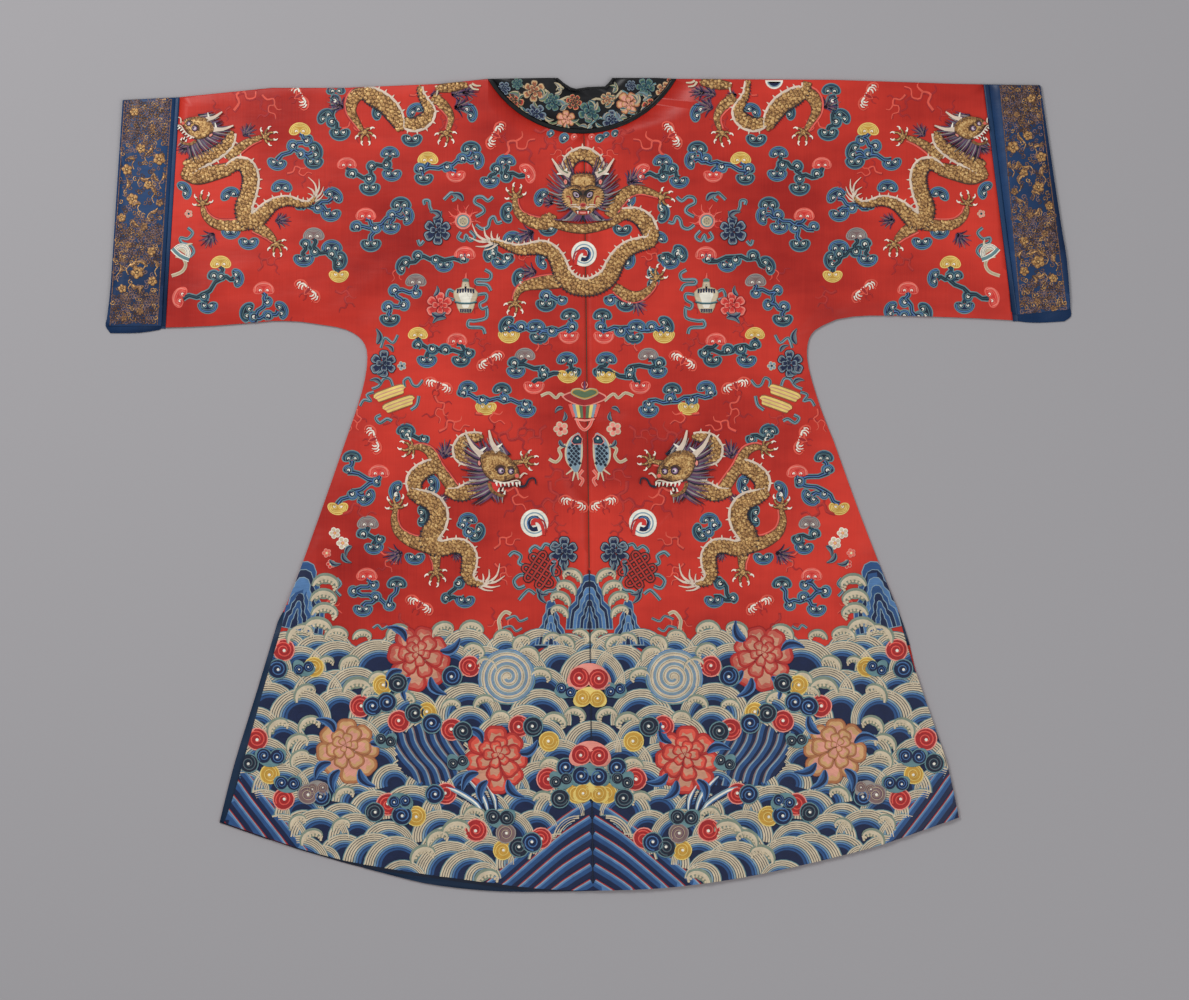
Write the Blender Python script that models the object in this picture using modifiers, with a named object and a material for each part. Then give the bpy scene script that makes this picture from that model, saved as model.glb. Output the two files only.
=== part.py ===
"""Dragon jacket, laid flat with its back up, seen from straight above.

Each piece is cut as one flat outline, front and back together, and folded
over the shoulder line. The back is the upper layer and the front lies under it.
X runs to the right, Y from the hem to the neck, Z up from the surface.
The origin is the middle of the jacket's rectangle, on the surface. Metres.
"""
import math

import bmesh
import bpy
from mathutils import Vector
from mathutils.geometry import interpolate_bezier

OBJECT_NAME = "dragon_jacket"

# Cloth and seams
WALL = 0.0012
FACING_WALL = 0.0010
SEAM_GAP = 0.0003
BACK_TOP = 0.0042
SEAM_TOP = 2 * WALL + SEAM_GAP
BINDING_LIFT = 0.0004

# How far the seam's closing dip and the flat margins reach into a panel
SEAM_DIP_WIDTH = 0.018
VENT_RELEASE = 0.045
FOLD_MARGIN = 0.050
EDGE_MARGIN = 0.030

# Size of a panel's cells, and of the steps along its curved edges
CELL = 0.030
CURVE_STEPS = 3
FOLD_ANGLES = (0, 30, 60, 90)

# The shoulder fold, from the left sleeve's opening to the right one
FOLD_LINE = (
    # x, y
    (-0.6990, 0.5560),
    (-0.5920, 0.5614),
    (-0.4586, 0.5749),
    (-0.3542, 0.5749),
    (-0.2150, 0.5807),
    (-0.1454, 0.5880),
    (-0.0600, 0.5894),
    (0.0980, 0.5894),
    (0.1290, 0.5880),
    (0.3600, 0.5865),
    (0.5334, 0.5807),
    (0.7000, 0.5780),
)

# The seam down the middle of the back, and the opening down the front under it
MIDDLE_SEAM_TOP = (-0.0062, 0.5080)
MIDDLE_SEAM_FOOT_X = 0.0069
FRONT_OPENING = 0.0035

# Collar ring: a circle on the back, half an ellipse on the front
COLLAR_RADIUS = 0.1577
COLLAR_CENTRE = (-0.0090, 0.6661)
COLLAR_FRONT_DEPTH = 0.118
COLLAR_BINDING_WIDTH = 0.0065
COLLAR_STEP_DEGREES = 6

# Neck edge: a shallow dip in the back, a deep half ellipse in the front
NECK_DIP = (
    # x, depth under the fold
    (-0.0442, 0.0000),
    (-0.0352, 0.0079),
    (-0.0253, 0.0140),
    (-0.0175, 0.0161),
    (-0.0017, 0.0135),
    (0.0241, 0.0125),
    (0.0301, 0.0065),
    (0.0350, 0.0000),
)
NECK_FRONT_DEPTH = 0.075
NECK_BINDING_WIDTH = 0.0035
NECK_STEPS = 10

# Edges of the two halves. Each row is a curve through its points, x and y.
HALVES = {
    "left": {
        "side": -1,
        "sleeve_seam": ((-0.5920, 0.5614), (-0.6123, 0.2275)),
        "underside": ((-0.6123, 0.2275), (-0.5455, 0.2300), (-0.4412, 0.2372), (-0.3890, 0.2320)),
        "underarm": (
            (-0.3890, 0.2320),
            (-0.3527, 0.2252),
            (-0.3281, 0.2095),
            (-0.3200, 0.1834),
            (-0.3280, 0.1341),
            (-0.3512, 0.0645),
        ),
        "side_seam": ((-0.3512, 0.0645), (-0.3875, -0.0399), (-0.4254, -0.1443), (-0.4400, -0.1800)),
        "vent_back": (
            (-0.4400, -0.1800),
            (-0.4430, -0.2020),
            (-0.4730, -0.3052),
            (-0.5093, -0.4357),
            (-0.5274, -0.4900),
        ),
        "vent_front": (
            (-0.4400, -0.1800),
            (-0.4490, -0.1965),
            (-0.4545, -0.2139),
            (-0.4820, -0.3052),
            (-0.5130, -0.4052),
            (-0.5345, -0.4900),
        ),
        "hem_back": (
            (-0.5274, -0.4900),
            (-0.4238, -0.5255),
            (-0.3309, -0.5494),
            (-0.2020, -0.5692),
            (-0.0729, -0.5856),
            (MIDDLE_SEAM_FOOT_X, -0.5885),
        ),
        "hem_front": (
            (-0.5345, -0.4900),
            (-0.4238, -0.5278),
            (-0.2846, -0.5665),
            (-0.2150, -0.5817),
            (-0.1280, -0.5898),
            (-0.0400, -0.5900),
            (MIDDLE_SEAM_FOOT_X, -0.5890),
        ),
    },
    "right": {
        "side": 1,
        "sleeve_seam": ((0.5724, 0.5799), (0.6153, 0.2380)),
        "underside": ((0.6153, 0.2380), (0.5332, 0.2422), (0.4078, 0.2450), (0.3594, 0.2392)),
        "underarm": (
            (0.3594, 0.2392),
            (0.3290, 0.2240),
            (0.3178, 0.2030),
            (0.3195, 0.1682),
            (0.3372, 0.1094),
            (0.3550, 0.0645),
        ),
        "side_seam": ((0.3550, 0.0645), (0.3926, -0.0399), (0.4332, -0.1443), (0.4480, -0.1800)),
        "vent_back": (
            (0.4480, -0.1800),
            (0.4635, -0.2382),
            (0.4965, -0.3357),
            (0.5200, -0.4053),
            (0.5372, -0.4825),
        ),
        "vent_front": (
            (0.4480, -0.1800),
            (0.4560, -0.2008),
            (0.4660, -0.2327),
            (0.4760, -0.2750),
            (0.4945, -0.3357),
            (0.5350, -0.4812),
        ),
        "hem_back": (
            (0.5372, -0.4825),
            (0.4810, -0.5025),
            (0.4114, -0.5261),
            (0.3070, -0.5522),
            (0.2026, -0.5732),
            (0.0980, -0.5856),
            (MIDDLE_SEAM_FOOT_X, -0.5885),
        ),
        "hem_front": (
            (0.5350, -0.4812),
            (0.4800, -0.5015),
            (0.4104, -0.5250),
            (0.3060, -0.5512),
            (0.2020, -0.5722),
            (0.0980, -0.5846),
            (MIDDLE_SEAM_FOOT_X, -0.5878),
        ),
    },
}

# Cuffs: sleeve opening's edge from fold to corner, and the foot of each layer
CUFFS = {
    "left": {
        "opening": ((-0.6746, 0.5573), (-0.6830, 0.4300), (-0.6920, 0.2900), (-0.6975, 0.2420)),
        "corner": ((-0.6975, 0.2420), (-0.6998, 0.2300), (-0.6930, 0.2195)),
        "foot_back": ((-0.6965, 0.2300), (-0.6123, 0.2300)),
        "foot_front": ((-0.6930, 0.2195), (-0.6500, 0.2200), (-0.6123, 0.2260)),
        "binding": 0.0060,
    },
    "right": {
        "opening": (
            (0.6550, 0.5790),
            (0.6668, 0.5000),
            (0.6850, 0.3777),
            (0.6935, 0.3255),
            (0.6990, 0.2560),
        ),
        "corner": ((0.6990, 0.2560), (0.6998, 0.2440), (0.6900, 0.2365)),
        "foot_back": ((0.6990, 0.2540), (0.6153, 0.2460)),
        "foot_front": ((0.6900, 0.2365), (0.6500, 0.2345), (0.6153, 0.2365)),
        "binding": 0.0075,
    },
}
CUFF_FOOT_DIP = 0.012

# Blue facing that shows past the back: where it starts and ends on an edge
FACING_WIDTH = 0.030
FACINGS = {
    # name: half, edge of the front it follows, start and end as shares of that edge
    "facing_vent_left": ("left", "vent_front", 0.06, 0.97),
    "facing_hem": ("left", "hem_front", 0.26, 0.99),
    "facing_vent_right": ("right", "vent_front", 0.06, 0.42),
}

# Largest soft folds of the back: start, end, half width and height
CREASES = (
    # x, y, x, y, half width, height
    (-0.560, 0.300, -0.400, 0.330, 0.030, 0.0016),
    (-0.520, 0.400, -0.330, 0.440, 0.034, 0.0012),
    (-0.420, 0.270, -0.300, 0.330, 0.026, 0.0015),
    (0.380, 0.290, 0.520, 0.360, 0.030, 0.0016),
    (0.330, 0.430, 0.560, 0.400, 0.036, 0.0012),
    (0.300, 0.250, 0.420, 0.300, 0.026, 0.0014),
    (-0.240, 0.300, -0.060, 0.340, 0.036, 0.0010),
    (0.080, 0.330, 0.270, 0.280, 0.036, 0.0010),
    (-0.300, 0.060, -0.200, -0.180, 0.036, 0.0014),
    (0.290, 0.050, 0.230, -0.200, 0.036, 0.0014),
    (-0.120, -0.080, -0.140, -0.300, 0.032, 0.0012),
    (0.130, -0.100, 0.160, -0.330, 0.032, 0.0012),
    (-0.330, -0.260, -0.380, -0.440, 0.036, 0.0014),
    (0.330, -0.260, 0.390, -0.440, 0.036, 0.0014),
    (-0.030, -0.320, 0.020, -0.520, 0.034, 0.0010),
)

# Finishes: colour, roughness
FINISHES = {
    "satin_red": ((0.50, 0.035, 0.025, 1.0), 0.45),
    "cuff_blue": ((0.035, 0.085, 0.19, 1.0), 0.55),
    "binding_blue": ((0.03, 0.10, 0.20, 1.0), 0.50),
    "facing_blue": ((0.015, 0.05, 0.11, 1.0), 0.60),
    "collar_black": ((0.012, 0.012, 0.018, 1.0), 0.60),
    "binding_black": ((0.008, 0.008, 0.010, 1.0), 0.65),
}


def smooth_step(t):
    """0 below 0, 1 above 1, and a soft S between."""
    t = min(max(t, 0.0), 1.0)
    return t * t * (3.0 - 2.0 * t)


def curve_through(points, steps=CURVE_STEPS):
    """Points along one smooth curve through the given ones, both ends included."""
    knots = [Vector((x, y, 0.0)) for x, y in points]
    last = len(knots) - 1
    path = []
    for i in range(last):
        start, end = knots[i], knots[i + 1]
        handle_out = start + (end - knots[max(i - 1, 0)]) / 6
        handle_in = end - (knots[min(i + 2, last)] - start) / 6
        path += interpolate_bezier(start, handle_out, handle_in, end, steps + 1)[:-1]
    path.append(knots[last])
    return [(p.x, p.y) for p in path]


def joined(*curves):
    """One list of points from curves that follow each other."""
    points = []
    for curve in curves:
        for point in curve:
            if not points or math.dist(points[-1], point) > SEAM_GAP / 3:
                points.append(point)
    if math.dist(points[0], points[-1]) < SEAM_GAP / 3:
        points.pop()
    return points


def distance_to(curve, x, y):
    """Distance in the plan from a point to an open curve."""
    point = Vector((x, y))
    nearest = math.inf
    for a, b in zip(curve, curve[1:]):
        start = Vector(a)
        along = Vector(b) - start
        share = min(max((point - start).dot(along) / along.length_squared, 0.0), 1.0)
        nearest = min(nearest, (start + along * share - point).length)
    return nearest


def beside(curve, distance):
    """The curve moved sideways, to its right for a positive distance."""
    moved = []
    for i, (x, y) in enumerate(curve):
        before = curve[max(i - 1, 0)]
        after = curve[min(i + 1, len(curve) - 1)]
        along = Vector((after[0] - before[0], after[1] - before[1])).normalized()
        moved.append((x + along.y * distance, y - along.x * distance))
    return moved


def fold_y(x):
    """Height of the shoulder fold in the plan at x."""
    for (x0, y0), (x1, y1) in zip(FOLD_LINE, FOLD_LINE[1:]):
        if x <= x1:
            return y0 + (y1 - y0) * (x - x0) / (x1 - x0)
    return FOLD_LINE[-1][1]


def unfold(points, layer):
    """Plan points as x and depth under the fold, positive on the back."""
    return [(x, layer * max(fold_y(x) - y, 0.0)) for x, y in points]


def line_x(start, end, y):
    """X of the straight line from start to end, at y."""
    return start[0] + (end[0] - start[0]) * (y - start[1]) / (end[1] - start[1])


def crease_height(x, y):
    """Height that the soft folds add to the back at a point."""
    height = 0.0
    for x0, y0, x1, y1, half_width, top in CREASES:
        start = Vector((x0, y0))
        along = Vector((x1 - x0, y1 - y0))
        share = (Vector((x, y)) - start).dot(along) / along.length_squared
        across = abs(along.normalized().cross(Vector((x, y)) - start))
        ends = smooth_step(1.25 - abs(2 * share - 1))
        height += top * ends * math.exp(-((across / half_width) ** 2))
    return height


def make_material(finish):
    """The finish as a material, made once."""
    material = bpy.data.materials.get(finish)
    if material is None:
        colour, roughness = FINISHES[finish]
        material = bpy.data.materials.new(finish)
        material.use_nodes = True
        shader = material.node_tree.nodes["Principled BSDF"]
        shader.inputs["Base Color"].default_value = colour
        shader.inputs["Roughness"].default_value = roughness
    return material


def finish_piece(name, bm, wall, finish, parts):
    """An object from an open surface, with the cloth's wall on its inner side."""
    mesh = bpy.data.meshes.new(name)
    bm.to_mesh(mesh)
    bm.free()
    piece = bpy.data.objects.new(name, mesh)
    parts.objects.link(piece)
    mesh.materials.append(make_material(finish))
    mesh.shade_smooth()
    solid = piece.modifiers.new("cloth_wall", "SOLIDIFY")
    solid.thickness = wall
    solid.offset = -1.0
    solid.use_even_offset = True
    return piece


def cut_lines(bm, axis, places, lowest=None):
    """Cut the flat outline along lines, only above the lowest depth if given."""
    normal = Vector((1, 0, 0)) if axis == "x" else Vector((0, 1, 0))
    for place in places:
        faces = [f for f in bm.faces if lowest is None or f.calc_center_median().y > lowest]
        edges = {e for f in faces for e in f.edges}
        verts = {v for f in faces for v in f.verts}
        bmesh.ops.bisect_plane(
            bm,
            geom=faces + list(edges) + list(verts),
            dist=1e-6,
            plane_co=normal * place,
            plane_no=normal,
        )


def stations(low, high, step):
    """Whole multiples of the step between low and high."""
    return [i * step for i in range(math.ceil(low / step), math.floor(high / step) + 1)]


def folded_piece(
    name,
    outline,
    finish,
    parts,
    cell=None,
    seam=None,
    vent_top=None,
    dip=SEAM_DIP_WIDTH,
    lift=0.0,
):
    """A piece cut to an outline of x and depth, then folded over the shoulder.

    seam is the edge where the back closes down on the front, and vent_top the
    point where that seam ends and the layers part.
    """
    top = BACK_TOP + lift
    radius = top / 2
    bm = bmesh.new()
    bm.faces.new([bm.verts.new((x, depth, 0.0)) for x, depth in outline])
    xs = [x for x, depth in outline]
    deepest = max(depth for x, depth in outline)
    cut_lines(bm, "x", [x for x, y in FOLD_LINE if min(xs) < x < max(xs)])
    arc = sorted({s * radius * (1 - math.cos(math.radians(a))) for a in FOLD_ANGLES for s in (-1, 1)})
    cut_lines(bm, "depth", arc)
    if cell:
        cut_lines(bm, "x", stations(min(xs), max(xs), cell), lowest=radius)
        cut_lines(bm, "depth", [d for d in stations(0, deepest, cell) if d > radius], lowest=radius)
    bmesh.ops.recalc_face_normals(bm, faces=bm.faces)
    if sum(f.normal.z * f.calc_area() for f in bm.faces) > 0:
        bmesh.ops.reverse_faces(bm, faces=bm.faces)
    free_edge = [(x, fold_y(x) - abs(depth)) for x, depth in outline if depth > FOLD_MARGIN]
    for v in bm.verts:
        depth = v.co.y
        y = fold_y(v.co.x) - abs(depth)
        if abs(depth) < radius:
            bend = math.sqrt(max(radius**2 - (radius - abs(depth)) ** 2, 0.0))
            z = radius + math.copysign(bend, depth)
        elif depth < 0:
            z = 0.0
        else:
            z = top
            if cell:
                inside = smooth_step(depth / FOLD_MARGIN - 0.2)
                inside *= smooth_step(distance_to(free_edge, v.co.x, y) / EDGE_MARGIN)
                z += inside * crease_height(v.co.x, y)
            if seam:
                close = 1.0 - smooth_step(distance_to(seam, v.co.x, y) / dip)
                if vent_top:
                    close *= smooth_step(math.dist(vent_top, (v.co.x, y)) / VENT_RELEASE - 0.2)
                close *= smooth_step(depth / FOLD_MARGIN)
                z -= close * (top - SEAM_TOP)
        v.co = (v.co.x, y, z)
    bmesh.ops.remove_doubles(bm, verts=bm.verts, dist=1e-5)
    return finish_piece(name, bm, WALL, finish, parts)


def collar_ring(radius):
    """Edge of the collar, x and depth, from the front opening round by the back."""
    centre = Vector(COLLAR_CENTRE)
    rise = centre.y - FOLD_LINE[5][1]
    half_chord = math.sqrt(radius**2 - rise**2)
    front_depth = COLLAR_FRONT_DEPTH - (COLLAR_RADIUS - radius)
    front_x = MIDDLE_SEAM_TOP[0]
    half_gap = FRONT_OPENING / 2
    ring = []
    quarter = range(COLLAR_STEP_DEGREES, 90, COLLAR_STEP_DEGREES)
    for a in [90 - q for q in range(0, 90, COLLAR_STEP_DEGREES)]:
        x = centre.x - half_chord * math.cos(math.radians(a))
        ring.append((min(x, front_x - half_gap), -front_depth * math.sin(math.radians(a))))
    ring[0] = (front_x - half_gap, -front_depth)
    start = math.degrees(math.asin(rise / radius))
    steps = round((180 - 2 * start) / COLLAR_STEP_DEGREES)
    for i in range(steps + 1):
        a = math.radians(180 + start + (180 - 2 * start) * i / steps)
        x = centre.x + radius * math.cos(a)
        y = centre.y + radius * math.sin(a)
        ring.append((x, max(fold_y(x) - y, 0.0) if 0 < i < steps else 0.0))
    for a in quarter:
        x = centre.x + half_chord * math.cos(math.radians(a))
        ring.append((max(x, front_x + half_gap), -front_depth * math.sin(math.radians(a))))
    ring.append((front_x + half_gap, -front_depth))
    return ring


def neck_edge(outset=0.0):
    """Edge of the neck, x and depth, from the front opening round by the back."""
    left, right = NECK_DIP[0][0], NECK_DIP[-1][0]
    middle, half = (left + right) / 2, (right - left) / 2
    front_x = MIDDLE_SEAM_TOP[0]
    half_gap = FRONT_OPENING / 2
    angles = [math.radians(90 * i / NECK_STEPS) for i in range(1, NECK_STEPS + 1)]
    down = [(-half * math.cos(a), -NECK_FRONT_DEPTH * math.sin(a)) for a in angles]
    edge = [(min(middle + x, front_x - half_gap), depth) for x, depth in reversed(down)]
    edge += NECK_DIP
    edge += [(max(middle - x, front_x + half_gap), depth) for x, depth in down]
    if outset:
        edge = beside(edge, -outset)
        edge[0] = (front_x - half_gap, edge[0][1])
        edge[-1] = (front_x + half_gap, edge[-1][1])
    return edge


def half_edges(name):
    """Every edge of one half as a curve of plan points."""
    rows = HALVES[name]
    return {key: curve_through(rows[key]) for key in rows if key != "side"}


def panel_outline(name):
    """One half, back and front in one piece, as x and depth."""
    edges = half_edges(name)
    side = HALVES[name]["side"]
    ring = collar_ring(COLLAR_RADIUS + SEAM_GAP)
    back_edge = [(x, d) for x, d in ring if d >= 0 and side * (x - MIDDLE_SEAM_TOP[0]) > 0.002]
    front_edge = [(x, d) for x, d in ring if d < 0 and side * (x - MIDDLE_SEAM_TOP[0]) > 0]
    half_seam = side * SEAM_GAP / 2
    half_gap = side * FRONT_OPENING / 2
    seam_top = Vector(MIDDLE_SEAM_TOP)
    collar_depth = max(d for x, d in ring)
    seam_back = (seam_top.x + half_seam, collar_depth)
    foot_back = edges["hem_back"][-1]
    foot_front = edges["hem_front"][-1]
    sleeve = edges["sleeve_seam"]
    body_back = joined(
        sleeve,
        edges["underside"],
        edges["underarm"],
        edges["side_seam"],
        edges["vent_back"],
        edges["hem_back"][:-1],
        [(foot_back[0] + half_seam, foot_back[1])],
    )
    body_front = joined(
        sleeve,
        edges["underside"],
        edges["underarm"],
        edges["side_seam"][:-1],
        edges["vent_front"],
        edges["hem_front"][:-1],
        [(foot_front[0] + half_gap, foot_front[1])],
    )
    back = unfold(body_back, 1) + [seam_back]
    front = unfold(body_front, -1)[1:]
    if side < 0:
        back += list(reversed(back_edge))
        front += front_edge
    else:
        back += back_edge
        front += list(reversed(front_edge))
    return joined(back, list(reversed(front)))


def make_panel(name, parts):
    """Half of the jacket: back, front and sleeve in one cut."""
    edges = half_edges(name)
    seam = joined(edges["underside"], edges["underarm"], edges["side_seam"])
    folded_piece(
        f"panel_{name}",
        panel_outline(name),
        "satin_red",
        parts,
        cell=CELL,
        seam=seam,
        vent_top=edges["side_seam"][-1],
    )


def make_cuff(name, parts):
    """The cuff as a flattened tube, and the binding between it and the sleeve."""
    cuff = CUFFS[name]
    side = HALVES[name]["side"]
    seam_top, seam_foot = HALVES[name]["sleeve_seam"]
    opening = curve_through(cuff["opening"])
    corner = curve_through(cuff["corner"])

    def beyond(outward, foot_y):
        """The cuff's seam line moved outward, down to a foot."""
        return [
            (line_x(seam_top, seam_foot, y) + side * outward, y)
            for y in (fold_y(seam_top[0]), foot_y)
        ]

    near = SEAM_GAP
    far = near + cuff["binding"]
    back_foot = cuff["foot_back"]
    front_foot = curve_through(cuff["foot_front"])
    binding_back = beyond(near, back_foot[1][1]) + list(reversed(beyond(far, back_foot[1][1])))
    binding_front = beyond(near, front_foot[-1][1]) + list(reversed(beyond(far, front_foot[-1][1])))
    folded_piece(
        f"cuff_binding_{name}",
        joined(unfold(binding_back, 1), list(reversed(unfold(binding_front, -1)))),
        "binding_blue",
        parts,
        seam=binding_back[1:3],
        dip=CUFF_FOOT_DIP,
        lift=BINDING_LIFT,
    )
    start = far + SEAM_GAP
    straight = [p for p in opening if p[1] > back_foot[0][1] + 0.004]
    cuff_back = beyond(start, back_foot[1][1]) + [back_foot[0]] + list(reversed(straight))
    inner = beyond(start, front_foot[-1][1])
    front_run = [p for p in front_foot if side * p[0] > side * inner[1][0] + 0.002]
    cuff_front = inner + list(reversed(front_run)) + list(reversed(corner)) + list(reversed(opening))
    folded_piece(
        f"cuff_{name}",
        joined(unfold(cuff_back, 1), list(reversed(unfold(joined(cuff_front), -1)))),
        "cuff_blue",
        parts,
        cell=CELL,
        seam=cuff_back[1:3],
        dip=CUFF_FOOT_DIP,
    )


def make_collar(parts):
    """The collar ring, the binding round it and the binding of the neck edge."""
    binding_inner = COLLAR_RADIUS - COLLAR_BINDING_WIDTH
    neck = neck_edge()
    neck_outer = neck_edge(NECK_BINDING_WIDTH)
    collar_inner = neck_edge(NECK_BINDING_WIDTH + SEAM_GAP)
    folded_piece(
        "collar_binding",
        joined(collar_ring(COLLAR_RADIUS), list(reversed(collar_ring(binding_inner)))),
        "binding_black",
        parts,
        lift=BINDING_LIFT,
    )
    folded_piece(
        "collar",
        joined(collar_ring(binding_inner - SEAM_GAP), list(reversed(collar_inner))),
        "collar_black",
        parts,
    )
    folded_piece(
        "neck_binding",
        joined(neck_outer, list(reversed(neck))),
        "binding_black",
        parts,
        lift=BINDING_LIFT,
    )


def make_facing(name, parts):
    """A strip on the inside of the front, flush with the front's own edge."""
    half, key, start, end = FACINGS[name]
    path = half_edges(half)[key]
    side = HALVES[half]["side"]
    first, last = round(start * (len(path) - 1)), round(end * (len(path) - 1))
    outer = path[first : last + 1]
    inner = beside(outer, FACING_WIDTH * side)
    bm = bmesh.new()
    floor = WALL + SEAM_GAP
    outline = joined(outer, list(reversed(inner)))
    bm.faces.new([bm.verts.new((x, y, floor + FACING_WALL)) for x, y in outline])
    bmesh.ops.recalc_face_normals(bm, faces=bm.faces)
    if any(f.normal.z < 0 for f in bm.faces):
        bmesh.ops.reverse_faces(bm, faces=bm.faces)
    finish_piece(name, bm, FACING_WALL, "facing_blue", parts)


def main():
    for old in list(bpy.data.objects):
        bpy.data.objects.remove(old, do_unlink=True)
    parts = bpy.data.collections.new(OBJECT_NAME)
    bpy.context.scene.collection.children.link(parts)
    for name in HALVES:
        make_panel(name, parts)
        make_cuff(name, parts)
    make_collar(parts)
    for name in FACINGS:
        make_facing(name, parts)


main()
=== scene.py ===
# %% [markdown]
# # A dragon jacket, laid flat with its back up
# The jacket's solids come in first: two halves, two cuffs, a collar ring and their bindings.
# They hold the true cut and the true size, but they are plain. This lesson gives them the
# look of silk and then sews every cloud, wave and dragon on them as raised thread.

# %% Load the solids
import math
import random

import bmesh
import bpy
import numpy as np
from mathutils import Matrix, Vector
from mathutils.bvhtree import BVHTree
from mathutils.geometry import interpolate_bezier


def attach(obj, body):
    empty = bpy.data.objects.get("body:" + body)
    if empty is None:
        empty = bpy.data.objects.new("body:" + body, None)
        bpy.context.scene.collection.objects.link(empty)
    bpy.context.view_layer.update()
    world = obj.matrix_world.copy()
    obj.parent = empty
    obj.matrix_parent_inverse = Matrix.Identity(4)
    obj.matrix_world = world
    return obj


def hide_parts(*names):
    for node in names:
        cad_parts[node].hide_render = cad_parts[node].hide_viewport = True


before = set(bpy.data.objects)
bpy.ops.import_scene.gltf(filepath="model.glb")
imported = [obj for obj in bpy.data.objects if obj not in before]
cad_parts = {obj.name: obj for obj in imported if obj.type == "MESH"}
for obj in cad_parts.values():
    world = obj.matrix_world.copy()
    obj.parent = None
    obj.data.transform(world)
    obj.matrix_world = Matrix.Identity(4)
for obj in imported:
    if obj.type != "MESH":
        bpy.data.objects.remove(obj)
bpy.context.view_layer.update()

print("solids:", ", ".join(sorted(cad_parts)))

# %% [markdown]
# ## Measuring from the photograph
# The picture is 1189 pixels wide and one pixel is 1.45 mm of cloth. Every motif below is
# placed by a pixel that was read off the picture. The sewing is drawn in pixels across the cloth and
# in millimetres above it, and each finished piece is scaled to metres once.
# The jacket was sewn as two mirrored halves, so one function finds the matching place on
# the other half. The middle seam leans a little, and the function allows for that.

# %% Pixels and millimetres
PIXEL = 0.00145
MM = 0.001
PHOTO_SIZE = (1189, 1000)
ORIGIN_PIXEL = (588.25, 484.5)
SEAM_TOP = (586.0, 300.0)
SEAM_FOOT = (593.0, 889.0)
HALVES = ((-1, "left"), (1, "right"))


def at(x, y):
    """A pixel of the photograph as a place on the cloth, still in pixels, with y upward."""
    return Vector((x - ORIGIN_PIXEL[0], ORIGIN_PIXEL[1] - y))


def seam_x(y):
    """The middle seam's pixel column at a pixel row."""
    return SEAM_TOP[0] + (SEAM_FOOT[0] - SEAM_TOP[0]) * (y - SEAM_TOP[1]) / (SEAM_FOOT[1] - SEAM_TOP[1])


def on_half(side, x, y):
    """A place given on the left half: kept for side -1, mirrored over the seam for side 1."""
    return at(x, y) if side < 0 else at(2 * seam_x(y) - x, y)


print("one pixel is", PIXEL / MM, "mm")

# %% [markdown]
# ## Camera, floor and light
# The photograph looks straight down on a grey board under even light. A long lens far above
# gives the same flat view. One large soft light from the upper left lets the raised thread
# throw small shadows, and a second one fills the other side.

# %% Camera
CAMERA_HEIGHT = 6.0
SENSOR_WIDTH = 36.0

picture_middle = at(PHOTO_SIZE[0] / 2, PHOTO_SIZE[1] / 2) * PIXEL
camera = bpy.data.objects.new("camera", bpy.data.cameras.new("camera"))
camera.location = (picture_middle.x, picture_middle.y, CAMERA_HEIGHT)
camera.data.sensor_fit = "HORIZONTAL"
camera.data.sensor_width = SENSOR_WIDTH
camera.data.lens = SENSOR_WIDTH * CAMERA_HEIGHT / (PHOTO_SIZE[0] * PIXEL)
bpy.context.scene.collection.objects.link(camera)
bpy.context.scene.camera = camera
bpy.context.scene.view_settings.view_transform = "Standard"
print("lens", round(camera.data.lens, 1), "mm")

# %% Lights
LIGHTS = (
    # name, place, size, power
    ("key_light", (-1.9, 2.1, 3.0), 1.6, 88.0),
    ("fill_light", (2.2, -1.4, 3.4), 2.4, 40.0),
)
SKY_COLOUR = (0.93, 0.96, 1.0, 1.0)
SKY_STRENGTH = 0.42

for name, place, size, power in LIGHTS:
    lamp = bpy.data.lights.new(name, "AREA")
    lamp.size = size
    lamp.energy = power
    light = bpy.data.objects.new(name, lamp)
    light.location = place
    light.rotation_euler = (-Vector(place)).to_track_quat("-Z", "Y").to_euler()
    bpy.context.scene.collection.objects.link(light)
sky = bpy.data.worlds.new("soft_room")
sky.use_nodes = True
sky.node_tree.nodes["Background"].inputs["Color"].default_value = SKY_COLOUR
sky.node_tree.nodes["Background"].inputs["Strength"].default_value = SKY_STRENGTH
bpy.context.scene.world = sky
print("lights:", len(LIGHTS))

# %% [markdown]
# ## Finishes
# Silk satin, floss and gold thread are three different surfaces. Satin is smooth with long
# floats, floss lies in fine parallel strands, and gold thread is metal foil round a core,
# held down by tiny stitches. Each is a node group that gives a colour, a roughness and a
# height, and every thread colour is a material that uses its group with its own values.


# %% Node helpers
def linear(colour):
    """A 0 to 255 screen colour as the linear colour that a shader takes."""
    return tuple(((c / 255 + 0.055) / 1.055) ** 2.4 for c in colour) + (1.0,)


def node(tree, kind, options=None, **sockets):
    """A shader node. A value that is another node's socket is linked, any other is set."""
    made = tree.nodes.new("ShaderNode" + kind)
    for key, value in (options or {}).items():
        setattr(made, key, value)
    for key, value in sockets.items():
        socket = made.inputs[int(key[1:])] if key[1:].isdigit() else made.inputs[key]
        if isinstance(value, bpy.types.NodeSocket):
            tree.links.new(value, socket)
        else:
            socket.default_value = value
    return made


def maths(tree, operation, first, second):
    """The result of one sum on two values."""
    return node(tree, "Math", {"operation": operation}, n0=first, n1=second).outputs[0]


def noise(tree, place, scale, detail=2.0):
    """Noise on a place. The scale may differ for each axis, which stretches the noise."""
    if hasattr(scale, "__len__"):
        place = node(tree, "Mapping", Vector=place, Scale=scale).outputs[0]
        scale = 1.0
    return node(tree, "TexNoise", Vector=place, Scale=scale, Detail=detail).outputs[0]


def mixed(tree, factor, first, second):
    """A colour between two."""
    return node(tree, "Mix", {"data_type": "RGBA"}, n0=factor, n6=first, n7=second).outputs[2]


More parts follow.
